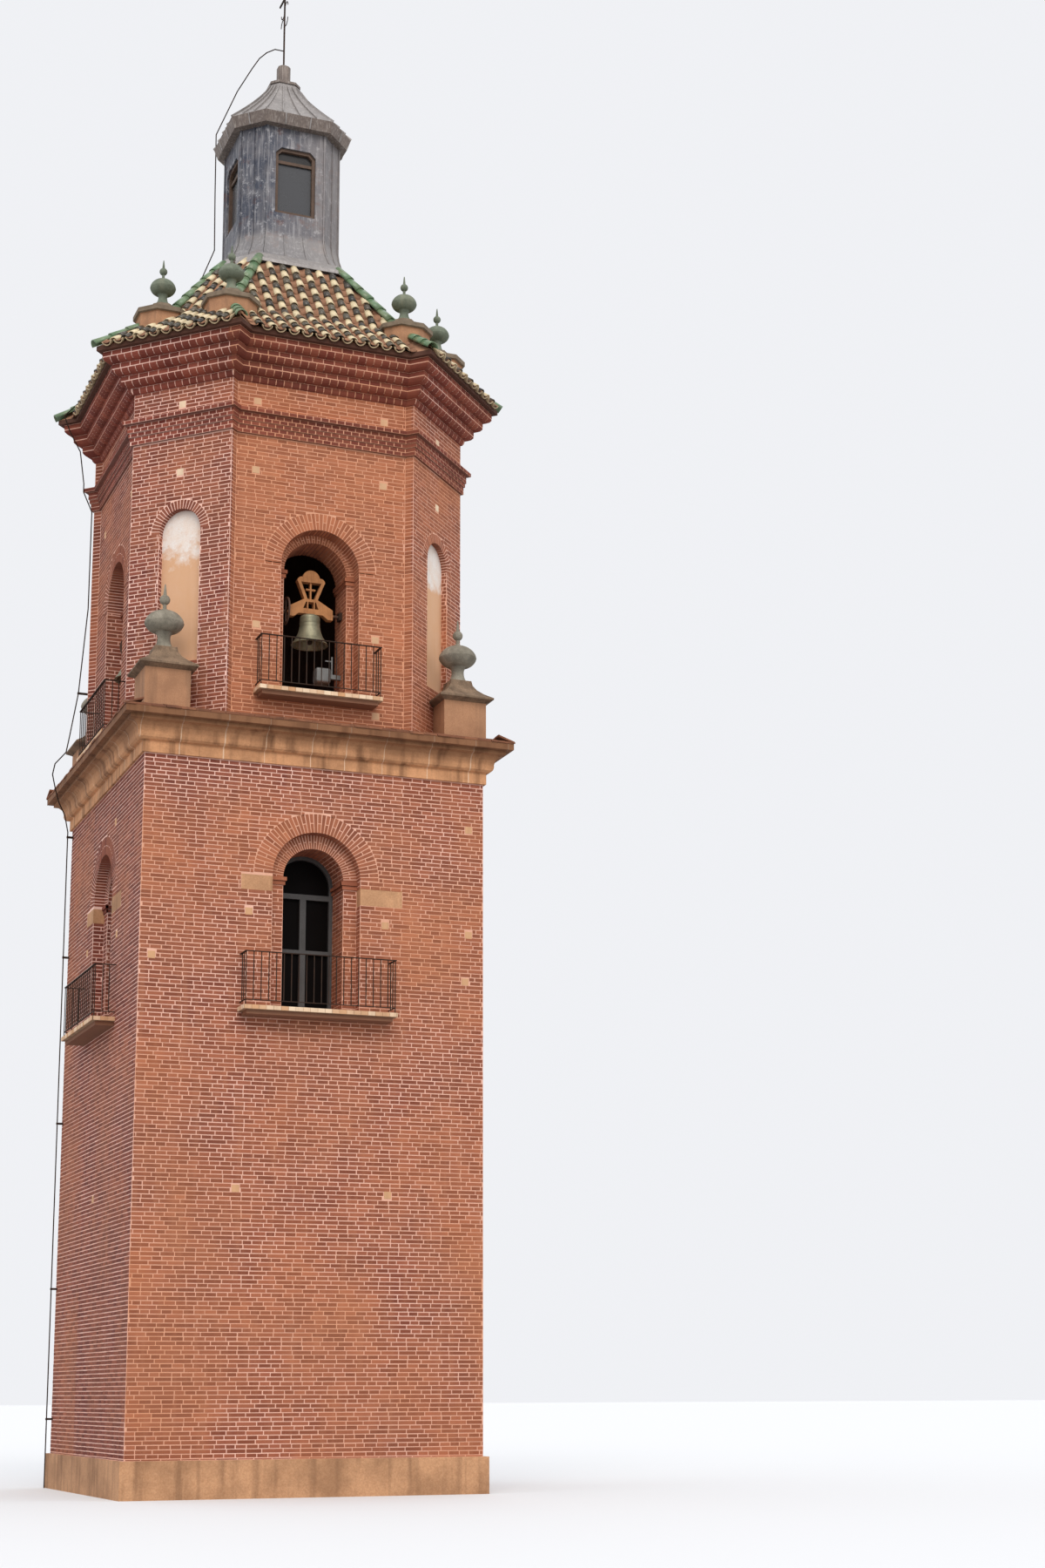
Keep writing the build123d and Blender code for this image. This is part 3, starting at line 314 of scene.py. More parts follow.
# stone and plaster
sandstone = weathered(
    "sandstone", (210, 160, 120), (190, 140, 102), (120, 84, 58), (96, 64, 44), 0.5, 0.45, patch=0.8, streak=0.16,
    grain=0.03, bump=0.4, depth=0.006,
)
entablature = weathered(
    "entablature", (224, 165, 120), (208, 150, 106), (142, 100, 70), (92, 58, 38), 0.55, 0.75, patch=0.7, streak=0.2,
    grain=0.03, bump=0.4, depth=0.006,
)
cream_stone = weathered(
    "cream_stone", (238, 212, 182), (206, 154, 110), (180, 140, 108), (140, 104, 78), 0.3, 0.25, tone=True, patch=0.4
)
slab_finish = weathered(
    "slab_edge", (200, 170, 140), (180, 148, 118), (140, 106, 80), (104, 76, 58), 0.45, 0.4, patch=0.3
)
worn_stone = weathered(
    "worn_stone", (150, 124, 100), (122, 100, 80), (78, 64, 52), (56, 42, 32), 0.6, 0.5, patch=0.35, bump=0.6,
    depth=0.008,
)
urn_stone = weathered(
    "urn_stone", (158, 150, 134), (134, 126, 112), (92, 86, 74), (78, 72, 60), 0.55, 0.35, patch=0.22, bump=0.5,
    depth=0.006,
)
peach_plaster = weathered(
    "peach_plaster", (184, 138, 104), (170, 122, 90), (140, 100, 74), (118, 88, 68), 0.5, 0.45, patch=0.5
)
pedestal_finish = weathered(
    "roof_pedestal", (190, 142, 106), (172, 124, 92), (140, 102, 78), (120, 92, 72), 0.5, 0.4, patch=0.3
)
niche_finish = weathered(
    "niche_finish", (238, 231, 225), (228, 215, 206), (226, 182, 142), (182, 148, 120), 0.3, 0.2, patch=0.35,
    streak=0.09, bump=0.25,
)
# tiles and glazes
urn_glaze = weathered(
    "urn_glaze", (128, 134, 116), (104, 112, 96), (76, 82, 66), (150, 146, 122), 0.55, 0.35, patch=0.2, bump=0.4,
    depth=0.005, rough=0.7,
)
cream_tile = weathered(
    "roof_cover", (40, 40, 37), (232, 212, 172), (128, 98, 68), (96, 74, 54), 0.2, 0.14, tone=True, patch=0.25,
    bump=0.2, depth=0.003, rough=0.32, coat=0.3,
)
eave_cream = weathered(
    "eave_cream", (118, 96, 72), (214, 192, 154), (128, 96, 66), (92, 70, 50), 0.4, 0.3, tone=True, patch=0.12,
    bump=0.2, depth=0.003, rough=0.45,
)
green_glaze = weathered(
    "green_glaze", (112, 138, 104), (92, 122, 88), (140, 140, 108), (92, 96, 72), 0.45, 0.25, tone=True, patch=0.2,
    bump=0.2, depth=0.003, rough=0.35, coat=0.3,
)
clay_tile = weathered(
    "clay_tile", (172, 126, 97), (142, 101, 77), (104, 74, 55), (80, 58, 44), 0.5, 0.35, tone=True, patch=0.3, bump=0.4
)
terracotta = weathered(
    "terracotta", (150, 98, 70), (124, 78, 56), (88, 58, 44), (70, 48, 38), 0.5, 0.4, tone=True, patch=0.4, bump=0.4
)
floor_clay = weathered(
    "floor_clay", (150, 112, 88), (128, 94, 72), (96, 70, 54), (84, 62, 48), 0.5, 0.0, patch=0.8, grain=0.03
)
# metals
old_lead = weathered(
    "old_lead", (84, 87, 98), (64, 68, 80), (126, 122, 124), (178, 175, 176), 0.6, 0.5, patch=0.4, streak=0.035,
    grain=0.03, depth=0.006, rough=0.55, metal=0.35,
)
fascia_lead = weathered(
    "fascia_lead", (140, 126, 117), (116, 104, 98), (96, 86, 82), (184, 174, 166), 0.5, 0.55, patch=0.3, streak=0.03,
    grain=0.03, bump=0.25, depth=0.005, rough=0.55, metal=0.3,
)
roof_lead = weathered(
    "roof_lead", (168, 161, 158), (146, 140, 137), (124, 119, 116), (196, 190, 186), 0.45, 0.4, patch=0.4, streak=0.06,
    grain=0.03, bump=0.25, depth=0.005, rough=0.5, metal=0.35,
)
black_iron = weathered(
    "black_iron", (44, 38, 34), (58, 46, 38), (84, 54, 38), (70, 50, 38), 0.45, 0.3, patch=0.12, grain=0.01,
    depth=0.002, rough=0.65, metal=0.5,
)
bell_bronze = weathered(
    "bell_bronze", (164, 158, 132), (136, 133, 110), (104, 102, 84), (186, 176, 144), 0.5, 0.35, patch=0.16,
    grain=0.015, bump=0.2, depth=0.003, rough=0.5, metal=0.6,
)
motor_grey = weathered(
    "motor_grey", (128, 128, 126), (112, 112, 110), (80, 78, 74), (150, 148, 142), 0.35, 0.3, patch=0.12, bump=0.1,
    depth=0.002, rough=0.4, metal=0.4,
)
# timber and paint
orange_timber = weathered(
    "orange_timber", (196, 138, 88), (172, 114, 68), (130, 82, 48), (110, 66, 40), 0.4, 0.4, patch=0.2, streak=0.03,
    grain=0.01, bump=0.25, depth=0.002, rough=0.7,
)
dark_timber = weathered(
    "dark_timber", (78, 52, 36), (62, 42, 30), (44, 32, 24), (96, 66, 46), 0.4, 0.4, patch=0.4, streak=0.04,
    grain=0.012, bump=0.4, depth=0.003, rough=0.75,
)
grey_paint = weathered(
    "grey_paint", (84, 82, 81), (72, 70, 69), (54, 51, 49), (104, 101, 96), 0.35, 0.3, patch=0.3, bump=0.15,
    depth=0.002, rough=0.55,
)
brown_frame = weathered(
    "brown_frame", (104, 82, 68), (88, 68, 56), (60, 48, 40), (124, 100, 84), 0.4, 0.3, patch=0.2, bump=0.2,
    depth=0.002, rough=0.6,
)
print("finishes:", *(material.name for material in bpy.data.materials))

# %% [markdown]
# ## Glass
# The panes are glass: a plain shader with a low roughness, whose gloss comes from the sky. The door panes let no light
# through and are nearly black, painted shade for the dark rooms behind them.


# %% Glass
def glass(name, colour, roughness, transmission):
    """A pane: colour, roughness and how much light goes through it."""
    material, tree, shader = new_finish(name)
    dust = noise(tree, own_place(tree), 2.5, 4.0)
    darker = rgb(*[c * 0.8 for c in colour])
    tree.links.new(blend_colours(tree, dust, rgb(*colour), darker), shader.inputs["Base Color"])
    tree.links.new(spread(tree, dust, 0.3, 0.7, roughness, roughness + 0.12), shader.inputs["Roughness"])
    shader.inputs["Transmission Weight"].default_value = transmission
    shader.inputs["IOR"].default_value = 1.45
    return material


# painted shade: the door panes opaque and nearly black, for the dark rooms behind them
door_glass = glass("door_glass", (12, 8, 7), 0.4, 0.0)
door_glass.node_tree.nodes["Principled BSDF"].inputs["Specular IOR Level"].default_value = 0.05
lantern_glass = glass("lantern_glass", (88, 88, 91), 0.2, 0.25)
print("two kinds of glass")

# %% [markdown]
# ## Colours laid over a finished base
# Many solids change colour at a level, in a direction or inside the tower. One helper lays one more
# colour over what a finish already has, and a second does so over bands of height. The niche plaster is
# white at the head and stained orange below, the entablature has upright joints and rain marks, and
# the lead's paint flakes off over rust.


# %% Bands, painted shade, joints and flakes
def lay_over(material, share, colour):
    """One more colour, for the screen or a socket, over a material's base by a share socket."""
    tree = material.node_tree
    shader = tree.nodes["Principled BSDF"]
    base = shader.inputs["Base Color"].links[0].from_socket
    over = colour if isinstance(colour, bpy.types.NodeSocket) else rgb(*colour)
    tree.links.new(blend_colours(tree, share, base, over), shader.inputs["Base Color"])


def banded(material, bands, colour, strength=0.9):
    """The colour between each low and high level."""
    tree = material.node_tree
    level = axes(tree)["Z"]
    for low, high in bands:
        inside = calc(tree, "MULTIPLY", calc(tree, "GREATER_THAN", level, low), calc(tree, "LESS_THAN", level, high))
        lay_over(material, calc(tree, "MULTIPLY", inside, strength), colour)


# painted shade: the balcony slabs darker brown below their edge tiles, over the slab's bed
banded(slab_finish, ((13.0, 13.268), (12.6, 12.858), (7.6, 7.788)), (132, 88, 66), 0.92)
# painted shade: the roof's clay darker at the eave, under the tile ends
banded(clay_tile, ((19.5, 19.682),), (72, 42, 34))
# painted shade: the lantern panes darker above the transom, under the window heads
banded(lantern_glass, ((24.38, 24.7),), (46, 42, 40))

# painted shade: dark red on the downward faces of the mortar-painted solids
room_half = 2.04
tree = mortar.node_tree
downward = axes(tree, add_node(tree, "NewGeometry").outputs["Normal"])["Z"]
lay_over(mortar, spread(tree, downward, -0.75, -0.95, 0.0, 0.85), (96, 46, 37))
# painted shade: dark brown on the mortar inside the rooms
split = axes(tree)
far = calc(tree, "MAXIMUM", calc(tree, "ABSOLUTE", split["X"], None), calc(tree, "ABSOLUTE", split["Y"], None))
lay_over(mortar, calc(tree, "MULTIPLY", calc(tree, "LESS_THAN", far, room_half), 0.94), (44, 31, 24))

# axles and ringing wheels, outside the timber of the front and the left headstock
timber_half = 0.42
tree = orange_timber.node_tree
split = axes(tree)
for along, across in (("X", "Y"), ("Y", "X")):
    past_timber = larger(tree, split[along], timber_half)
    this_bell = calc(tree, "LESS_THAN", split[across], -1.5)
    lay_over(orange_timber, calc(tree, "MULTIPLY", past_timber, this_bell), (84, 60, 48))

# flakes and rust, a painted highlight down the right side, and paler lead over the skirt
tree = old_lead.node_tree
for scale, detail, roughness, low, high, colour in (
    (9.0, 8.0, 0.75, 0.55, 0.6, (176, 174, 176)), (2.6, 6.0, 0.7, 0.56, 0.64, (104, 74, 68)),
):
    marks = noise(tree, own_place(tree), scale, detail, roughness)
    lay_over(old_lead, spread(tree, marks, low, high, 0.0, 0.6), colour)
split = axes(tree)
# painted highlight: the lead paler towards the right side
lay_over(old_lead, spread(tree, split["X"], -0.2, 0.95, 0.0, 0.6), (158, 149, 144))
lay_over(old_lead, spread(tree, split["Z"], 22.95, 22.8, 0.0, 0.5), (164, 158, 154))

# the niches' orange stain, with a wandering upper edge
tree = niche_finish.node_tree
drift = calc(tree, "MULTIPLY", noise(tree, own_place(tree), 3.4, 6.0, 0.65), 2.4)
edge = calc(tree, "ADD", axes(tree)["Z"], drift)
lay_over(niche_finish, spread(tree, edge, 16.8, 17.3, 0.85, 0.0), (212, 158, 112))

# the entablature's pale joints, along X on the front and back and along Y on the sides, and its dark corona
stone_length = 0.72
tree = entablature.node_tree
split = axes(tree)
facing = axes(tree, add_node(tree, "NewGeometry").outputs["Normal"])
sideways = larger(tree, facing["X"], facing["Y"])
ahead = calc(tree, "SUBTRACT", 1.0, sideways)
along = calc(tree, "ADD", calc(tree, "MULTIPLY", split["X"], ahead), calc(tree, "MULTIPLY", split["Y"], sideways))
wobble = add_node(tree, "TexNoise", [("W", along), ("Scale", 1.3)], noise_dimensions="1D").outputs["Fac"]
shifted = calc(tree, "ADD", along, calc(tree, "MULTIPLY", wobble, 0.5))
fraction = calc(tree, "FRACT", calc(tree, "DIVIDE", shifted, stone_length), None)
lay_over(entablature, calc(tree, "MULTIPLY", calc(tree, "LESS_THAN", fraction, 0.022), 0.75), (234, 202, 172))
lay_over(entablature, spread(tree, split["Z"], 12.34, 12.62, 0.05, 0.78), (98, 62, 40))

# the stone caps of the roof's pedestals, which are one solid with their boxes
cap_level = 20.405
tree = pedestal_finish.node_tree
cap_colour = blend_colours(tree, noise(tree, own_place(tree), 9.0, 5.0), rgb(150, 132, 112), rgb(88, 74, 60))
lay_over(pedestal_finish, calc(tree, "GREATER_THAN", axes(tree)["Z"], cap_level), cap_colour)
# the darker mortar inside the rooms is painted shade
print("bands, painted_shade, joints and flakes ready")

# %% [markdown]
# ## Meshes from arrays
# Every added piece is worked out as arrays. Small closed forms are stored as an array of units, each
# with the same number of points, and one table of quads serves them all. The sign of a unit's volume
# says whether its faces point outwards; where it is negative, that unit's faces are turned round.


# %% Helpers for meshes
def joined(units, quads):
    """Points and faces of many closed units. A unit's faces are turned where its volume is negative."""
    count, stride = units.shape[:2]
    corners = units[:, quads]
    base = corners - units.mean(axis=1)[:, None, None]
    a, b, c, d = (base[:, :, i] for i in range(4))
    volume = (np.cross(b, c) * a).sum((1, 2)) + (np.cross(c, d) * a).sum((1, 2))
    faces = np.broadcast_to(quads, (count, *quads.shape)).copy()
    faces[volume < 0] = faces[volume < 0][:, :, ::-1]
    faces += stride * np.arange(count)[:, None, None]
    return units.reshape(-1, 3), faces.reshape(-1, 4)


def piled(parts):
    """Several (units, quads, tones) joined into one set of points, faces and a tone for each point."""
    points, faces, tones, start = [], [], [], 0
    for units, quads, tone in parts:
        if len(units) == 0:
            continue
        some, around_them = joined(units, quads)
        points.append(some)
        faces.append(around_them + start)
        tones.append(np.repeat(tone, units.shape[1]))
        start += len(some)
    return np.concatenate(points), np.concatenate(faces), np.concatenate(tones)


def add_piece(name, parts, finish, body="tower", smooth=False, replaces=()):
    """A mesh object from piled parts, which rides on a body and takes its finish from a slot."""
    points, faces, tones = piled(parts)
    mesh = bpy.data.meshes.new(name)
    mesh.vertices.add(len(points))
    mesh.vertices.foreach_set("co", points.astype(np.float32).ravel())
    mesh.loops.add(faces.size)
    mesh.loops.foreach_set("vertex_index", faces.astype(np.int32).ravel())
    mesh.polygons.add(len(faces))
    mesh.polygons.foreach_set("loop_start", np.arange(0, faces.size, 4, dtype=np.int32))
    mesh.polygons.foreach_set("use_smooth", np.full(len(faces), smooth))
    mesh.update(calc_edges=True)
    mesh.attributes.new("tone", "FLOAT", "POINT").data.foreach_set("value", tones.astype(np.float32))
    mesh.materials.append(finish)
    piece = bpy.data.objects.new(name, mesh)
    bpy.context.collection.objects.link(piece)
    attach(piece, body)
    if replaces:
        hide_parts(*replaces)
    print(name, 2 * len(faces), "triangles")


def grid_quads(index, around=True):
    """Quads of a grid of point numbers whose columns close to a ring, and its rows too where around is true."""
    after = np.roll(index, -1, axis=1)
    quads = np.stack([index, after, np.roll(after, -1, axis=0), np.roll(index, -1, axis=0)], axis=-1)
    return (quads if around else quads[:-1]).reshape(-1, 4)


def sleeve(index):
    """Quads of a closed form from the rings of its point numbers: between the rings, and over both ends."""
    return np.concatenate([grid_quads(index, around=False), [index[0, ::-1], index[-1]]])


def turned(points, quarters):
    """Points turned about the tower's axis: 0 front, 1 left, 2 back, 3 right, and halves between."""
    angle = -quarters * math.pi / 2
    x, y, z = np.moveaxis(np.asarray(points, float), -1, 0)
    cos, sin = math.cos(angle), math.sin(angle)
    return np.stack([x * cos - y * sin, x * sin + y * cos, z], axis=-1)


def spot(quarters, x, y, z):
    """Points given as if they were at the front, turned to their own side."""
    return turned(np.stack(np.broadcast_arrays(x, y, z), axis=-1), quarters)


def on_side(quarters, distance):
    """A place function for an upright face: u lies along it, v is the level and w stands out of it."""
    return lambda u, v, w: spot(quarters, u, -distance - w, v)


def on_ring(quarters, distance, level):
    """A place function for an arch ring in such a face: u is the angle and v the radius."""
    return lambda u, v, w: spot(quarters, v * np.cos(u), -distance - w, level + v * np.sin(u))


def on_soffit(quarters, distance, level, radius):
    """A place function for the underside of an arch: u is the angle and v the depth behind the face."""
    return lambda u, v, w: spot(quarters, (radius - w) * np.cos(u), v - distance, level + (radius - w) * np.sin(u))


def on_jamb(quarters, distance, half, side):
    """A place function for the side of an opening: u is the depth behind the face and v the level."""
    return lambda u, v, w: spot(quarters, side * (half - w), u - distance, v)


proud = 0.0035
box_quads = np.array([[0, 3, 2, 1], [4, 5, 6, 7], [0, 1, 5, 4], [1, 2, 6, 5], [2, 3, 7, 6], [3, 0, 4, 7]])
chance = np.random.default_rng(12)


def raised(cells, place, low=-0.006, high=proud, tone=None):
    """Boxes over cells (u0, u1, v0, v1), between the offsets low and high, put in space by place(u, v, w)."""
    u0, u1, v0, v1 = np.asarray(cells, float).reshape(-1, 4).T
    u = np.stack([u0, u1, u1, u0] * 2, axis=1)
    v = np.stack([v0, v0, v1, v1] * 2, axis=1)
    w = np.broadcast_to([low] * 4 + [high] * 4, u.shape)
    tones = chance.random(len(u0)) if tone is None else np.broadcast_to(tone, len(u0))
    return place(u, v, w), box_quads, tones


print("mesh helpers ready")

# %% [markdown]
# ## Bricks
# The walls are old thin bricks, 28 cm long in courses of 7 cm, with thick joints. They could be a
# pattern in the material, but real ones catch light on their edges, run round the arches and end at
# the stones, so each brick is a low box that stands a few millimetres proud of the mortar. Courses are
# counted from the tower's foot, so they line up round every corner.

# %% Laying bricks
course, brick, joint = 0.07, 0.30, 0.017
short_share, scatter = 0.6, 0.06
least_piece, least_rest = 0.03, 0.026


def course_numbers(low, high, rise=course):
    """The numbers of the courses between two levels."""
    return np.arange(math.floor(low / rise + 0.01), math.ceil(high / rise - 0.01))


def trimmed(cells, u0, u1, v0, v1):
    """Cells cut off at the limits. Slivers are left out."""
    cells = cells.clip([u0, u0, v0, v0], [u1, u1, v1, v1])
    return cells[(cells[:, 1] - cells[:, 0] > least_piece) & (cells[:, 3] - cells[:, 2] > least_piece)]


def laid(u0, u1, v0, v1, length=brick, rise=course):
    """Courses of long bricks, with courses of shorter ones between them: course k lies from k * rise."""
    rows = course_numbers(v0, v1, rise)
    cells = []
    for odd, size in ((0, length), (1, length * short_share)):
        columns = np.arange(math.floor(u0 / size) - 1, math.ceil(u1 / size) + 2)
        row, column = np.meshgrid(rows[rows % 2 == odd], columns, indexing="ij")
        slide = np.where(row % 2 == 1, 0.25 + 0.35 * chance.random((len(row), 1)), 0.5 * (row // 2 % 2))
        edge = (column + slide) * size + chance.normal(0, scatter * size, row.shape)
        low = row[:, :-1] * rise
        cells.append(np.stack([edge[:, :-1], edge[:, 1:], low, low + rise], axis=-1).reshape(-1, 4))
    return trimmed(np.concatenate(cells), u0, u1, v0, v1)


def opened(cells, half_at, centre=0.0):
    """Cells with an opening taken out of them. half_at(v) is its half width at a level, or 0."""
    half = half_at((cells[:, 2] + cells[:, 3]) / 2)
    low, high = centre - half, centre + half
    hit = (half > 0) & (cells[:, 1] > low) & (cells[:, 0] < high)
    before, after = cells[hit].copy(), cells[hit].copy()
    before[:, 1] = np.minimum(before[:, 1], low[hit])
    after[:, 0] = np.maximum(after[:, 0], high[hit])
    cells = np.concatenate([cells[~hit], before, after])
    return cells[cells[:, 1] - cells[:, 0] > least_rest]


def arch_half(bottom, springing, half, ring):
    """The half width taken by an arch: half up to the springing, then its ring's outer curve."""
    def at(v):
        curve = np.sqrt(np.clip(ring**2 - (v - springing) ** 2, 0, None))
        return np.where(v < bottom, 0, np.where(v < springing, half, curve))
    return at


def slot_half(low, high, half):
    """The half width taken by a stone between two levels."""
    return lambda v: np.where((v > low) & (v < high), half, 0.0)


def pointed(cells, gap=joint):
    """Cells made smaller by half a joint on each side, with a little unevenness."""
    uneven = chance.normal(0, 0.0012, cells.shape)
    return cells + uneven + np.array([gap, -gap, gap, -gap]) / 2


def mirrored(cells):
    """Cells on the other side of the middle."""
    return np.concatenate([-cells[:, 1::-1], cells[:, 2:]], axis=1)


def fan(count, inner, outer, split=True):
    """Cells (angle, radius) of an arch ring. Every second brick is two halves where split is true."""
    edges = np.linspace(0, math.pi, count + 1)
    gap = joint / (inner + outer)
    whole = np.stack([edges[:-1] + gap, edges[1:] - gap, np.full(count, inner), np.full(count, outer)], axis=1)
    if not split:
        return whole
    middle = (inner + outer) / 2
    low, high = whole[1::2].copy(), whole[1::2].copy()
    low[:, 3] = middle - joint / 2
    high[:, 2] = middle + joint / 2
    return np.concatenate([whole[::2], low, high])


def fan_ends(count, radius, first, last):
    """Cells (angle, depth) of the brick ends in an arch's underside, between two depths."""
    ends = fan(count, radius, radius, split=False)
    ends[:, 2:] = (first, last)
    return ends


print("bricks of", brick - joint, "m in courses of", course)

# %% [markdown]
# ## Walls and arches of the shaft
# Each face has a balcony doorway under a semicircular arch of two orders. The outer ring is one brick
# deep and lies in the face; the inner ring stands back by 20 cm. The soffits show brick ends, and the
# piers of the inner order end in two moulded courses at the springing.

# %% Brickwork of the shaft
face_names = ("front", "left", "back", "right")
arch_brick = 0.066
whole_course = 9.0


def arch_bricks(quarters, face, bottom, springing, outer, inner, ring, depth, wall, stones=()):
    """Rings, soffits, piers and imposts of an arch in two orders, in the wall whose face is at -face."""
    set_back = on_side(quarters, face - depth)
    count = round(math.pi * (outer + 0.15) / arch_brick)
    parts = [
        raised(fan(count, outer, ring), on_ring(quarters, face, springing)),
        raised(fan(count, inner, outer), on_ring(quarters, face - depth, springing)),
        raised(fan_ends(count, outer, 0.008, depth - 0.008), on_soffit(quarters, face, springing, outer)),
    ]
    pitch = math.pi / round(math.pi * inner / course)
    long = laid(depth, wall, 0, math.pi, rise=pitch)[:, [2, 3, 0, 1]]
    shrink = np.array([joint / inner, -joint / inner, joint, -joint]) / 2
    parts.append(raised(long + shrink, on_soffit(quarters, face, springing, inner)))
    top = springing - 2 * course
    for side in (-1, 1):
        inner_jamb = on_jamb(quarters, face, inner, side)
        jamb = laid(0, depth, bottom, springing, length=2 * depth)
        for where, low, high, _ in stones:
            if where == side:
                jamb = opened(jamb, slot_half(low, high, whole_course))
        parts.append(raised(pointed(jamb), on_jamb(quarters, face, outer, side)))
        strip = laid(0, outer - inner, bottom, top, length=2 * (outer - inner)) + [inner, inner, 0, 0]
        parts.append(raised(pointed(strip if side > 0 else mirrored(strip)), set_back))
        parts.append(raised(pointed(laid(depth, wall, bottom, top)), inner_jamb))
        for low, reach in ((top, 0.028), (top + course, 0.05)):
            cap = np.array([[inner - reach, outer, low + 0.004, low + course - 0.004]])
            parts.append(raised(cap if side > 0 else mirrored(cap), set_back, high=reach))
            side_cap = laid(depth - reach, wall, low, low + course)
            parts.append(raised(pointed(side_cap, 0.01), inner_jamb, high=reach))
    return parts


shaft_half, shaft_foot, shaft_top, upper_level = 3.0, 0.6, 12.05, 7.86
springing, outer, inner, ring, depth, wall = 10.16, 0.77, 0.53, 1.09, 0.2, 0.8
door_half, door_springing, door_ring, door_cut, door_count = 0.55, 1.9, 0.70, 0.72, 26
impost_stones = ((-1, 9.86, 10.12, 0.54), (1, 9.73, 10.04, 0.75))
shaft_putlogs = {
    0: [(-1.17, 9.50), (1.22, 9.42), (2.73, 11.22), (2.73, 9.36), (2.67, 8.54), (-2.79, 8.66), (-1.3, 4.9),
        (1.3, 4.86)],
    1: [(0.89, 11.35), (-1.2, 9.4), (1.25, 9.3), (0.0, 4.9)],
    2: [(-1.2, 9.4), (1.2, 9.45), (2.7, 11.2)],
    3: [(-1.2, 9.4), (1.25, 9.4), (-2.7, 11.2)],
}
putlog_half, putlog_height = 0.068, 0.14


def holed(cells, holes):
    """Cells with square holes for putlog stones."""
    for x, z in holes:
        cells = opened(cells, slot_half(z - putlog_height / 2, z + putlog_height / 2, putlog_half), x)
    return cells


for quarters, side_name in enumerate(face_names):
    cells = laid(-shaft_half, shaft_half, shaft_foot, shaft_top)
    cells = opened(cells, arch_half(upper_level, springing, outer, ring + joint / 2))
    for side, low, high, width in impost_stones:
        cells = opened(cells, slot_half(low, high, width / 2), side * (outer + width / 2))
    cells = holed(cells, shaft_putlogs[quarters])
    if side_name == "back":
        cells = opened(cells, arch_half(0, door_springing, door_half, door_cut))
    parts = [raised(pointed(cells), on_side(quarters, shaft_half))]
    parts += arch_bricks(quarters, shaft_half, upper_level, springing, outer, inner, ring, depth, wall, impost_stones)
    if side_name == "back":
        door_fan = fan(door_count, door_half, door_ring, split=False)
        parts.append(raised(door_fan, on_ring(quarters, shaft_half, door_springing)))
    add_piece(f"{side_name}_shaft_bricks", parts, brick_skin)

# %% [markdown]
# ## The belfry's plan
# The belfry is an octagon whose diagonal walls stand proud of the main ones by small returns. Its
# outline at any reach from the wall is a true mitre: each side moves out along its own direction.

# %% Plan of the belfry
root2 = math.sqrt(2)
main_distance, main_half, diagonal_distance = 2.95, 1.54, 3.3408
return_depth, corner_creep = 0.166, 0.12


def belfry_sides(reach):
    """Distance and half length of the main sides, of the diagonal ones, and where the returns start."""
    reach = np.asarray(reach, float)
    wall = main_distance + reach
    outer_x = main_half + return_depth / root2 + corner_creep * reach
    step = root2 * (diagonal_distance + reach) - outer_x - wall
    half = outer_x - step
    return wall, half, (wall + half) / root2 + root2 * step, (wall - half) / root2, (wall + half) / root2


belfry_face, belfry_half_length, diagonal_face, diagonal_half, return_start = (float(v) for v in belfry_sides(0))
print("main side", round(2 * belfry_half_length, 3), "diagonal side", round(2 * diagonal_half, 3))

# %% Brickwork of the belfry
belfry_bands = ((12.72, 17.94), (18.375, 18.90))
floor_level, left_step = 13.34, 0.41
springing, outer, inner, ring, depth, wall = 15.65, 0.705, 0.57, 1.0, 0.3, 0.95
plain_putlogs = [(-1.1, 18.56), (1.1, 18.56), (-1.1, 17.3), (1.1, 17.3)]
belfry_putlogs = {
    0: [(-1.18, 18.58), (1.14, 18.54), (-1.19, 17.31), (1.13, 17.34), (-1.13, 14.52), (1.01, 14.48), (1.03, 13.11)],
    1: plain_putlogs,
    2: plain_putlogs,
    3: plain_putlogs,
}
diagonals = (0.5, 1.5, 2.5, 3.5)
diagonal_putlogs = [(-0.01, 18.57), (-0.02, 17.32)]


def wall_cells(half, holes):
    """Courses below and above the string course, with square holes for putlog stones."""
    return holed(np.concatenate([laid(-half, half, low, high) for low, high in belfry_bands]), holes)


for quarters, side_name in enumerate(face_names):
    bottom = floor_level - left_step if side_name == "left" else floor_level
    cells = wall_cells(belfry_half_length, belfry_putlogs[quarters])
    cells = opened(cells, arch_half(bottom, springing, outer, ring + joint / 2))
    parts = [raised(pointed(cells), on_side(quarters, belfry_face))]
    parts += arch_bricks(quarters, belfry_face, bottom, springing, outer, inner, ring, depth, wall)
    add_piece(f"{side_name}_belfry_bricks", parts, brick_skin)

niche_half, niche_bottom, niche_springing, niche_ring, niche_reveal, niche_count = 0.41, 13.85, 16.22, 0.57, 0.11, 26
parts = []
for quarters in diagonals:
    cells = wall_cells(diagonal_half, diagonal_putlogs)
    cells = opened(cells, arch_half(niche_bottom, niche_springing, niche_half, niche_ring + joint / 2))
    parts.append(raised(pointed(cells), on_side(quarters, diagonal_face)))
    niche_fan = fan(niche_count, niche_half, niche_ring, split=False)
    parts.append(raised(niche_fan, on_ring(quarters, diagonal_face, niche_springing)))
    ends = fan_ends(niche_count, niche_half, 0.006, niche_reveal - 0.004)
    parts.append(raised(ends, on_soffit(quarters, diagonal_face, niche_springing, niche_half)))
    for side in (-1, 1):
        cells = laid(0, niche_reveal, niche_bottom, niche_springing, 2 * niche_reveal)
        parts.append(raised(pointed(cells), on_jamb(quarters, diagonal_face, niche_half, side)))
        for low, high in belfry_bands:
            level = course_numbers(low, high) * course
            cells = np.stack(np.broadcast_arrays(return_start, diagonal_face, level, level + course), axis=1)
            parts.append(raised(pointed(cells), lambda u, v, w: spot(quarters, side * (diagonal_half + w), -u, v)))
add_piece("diagonal_bricks", parts, brick_skin)

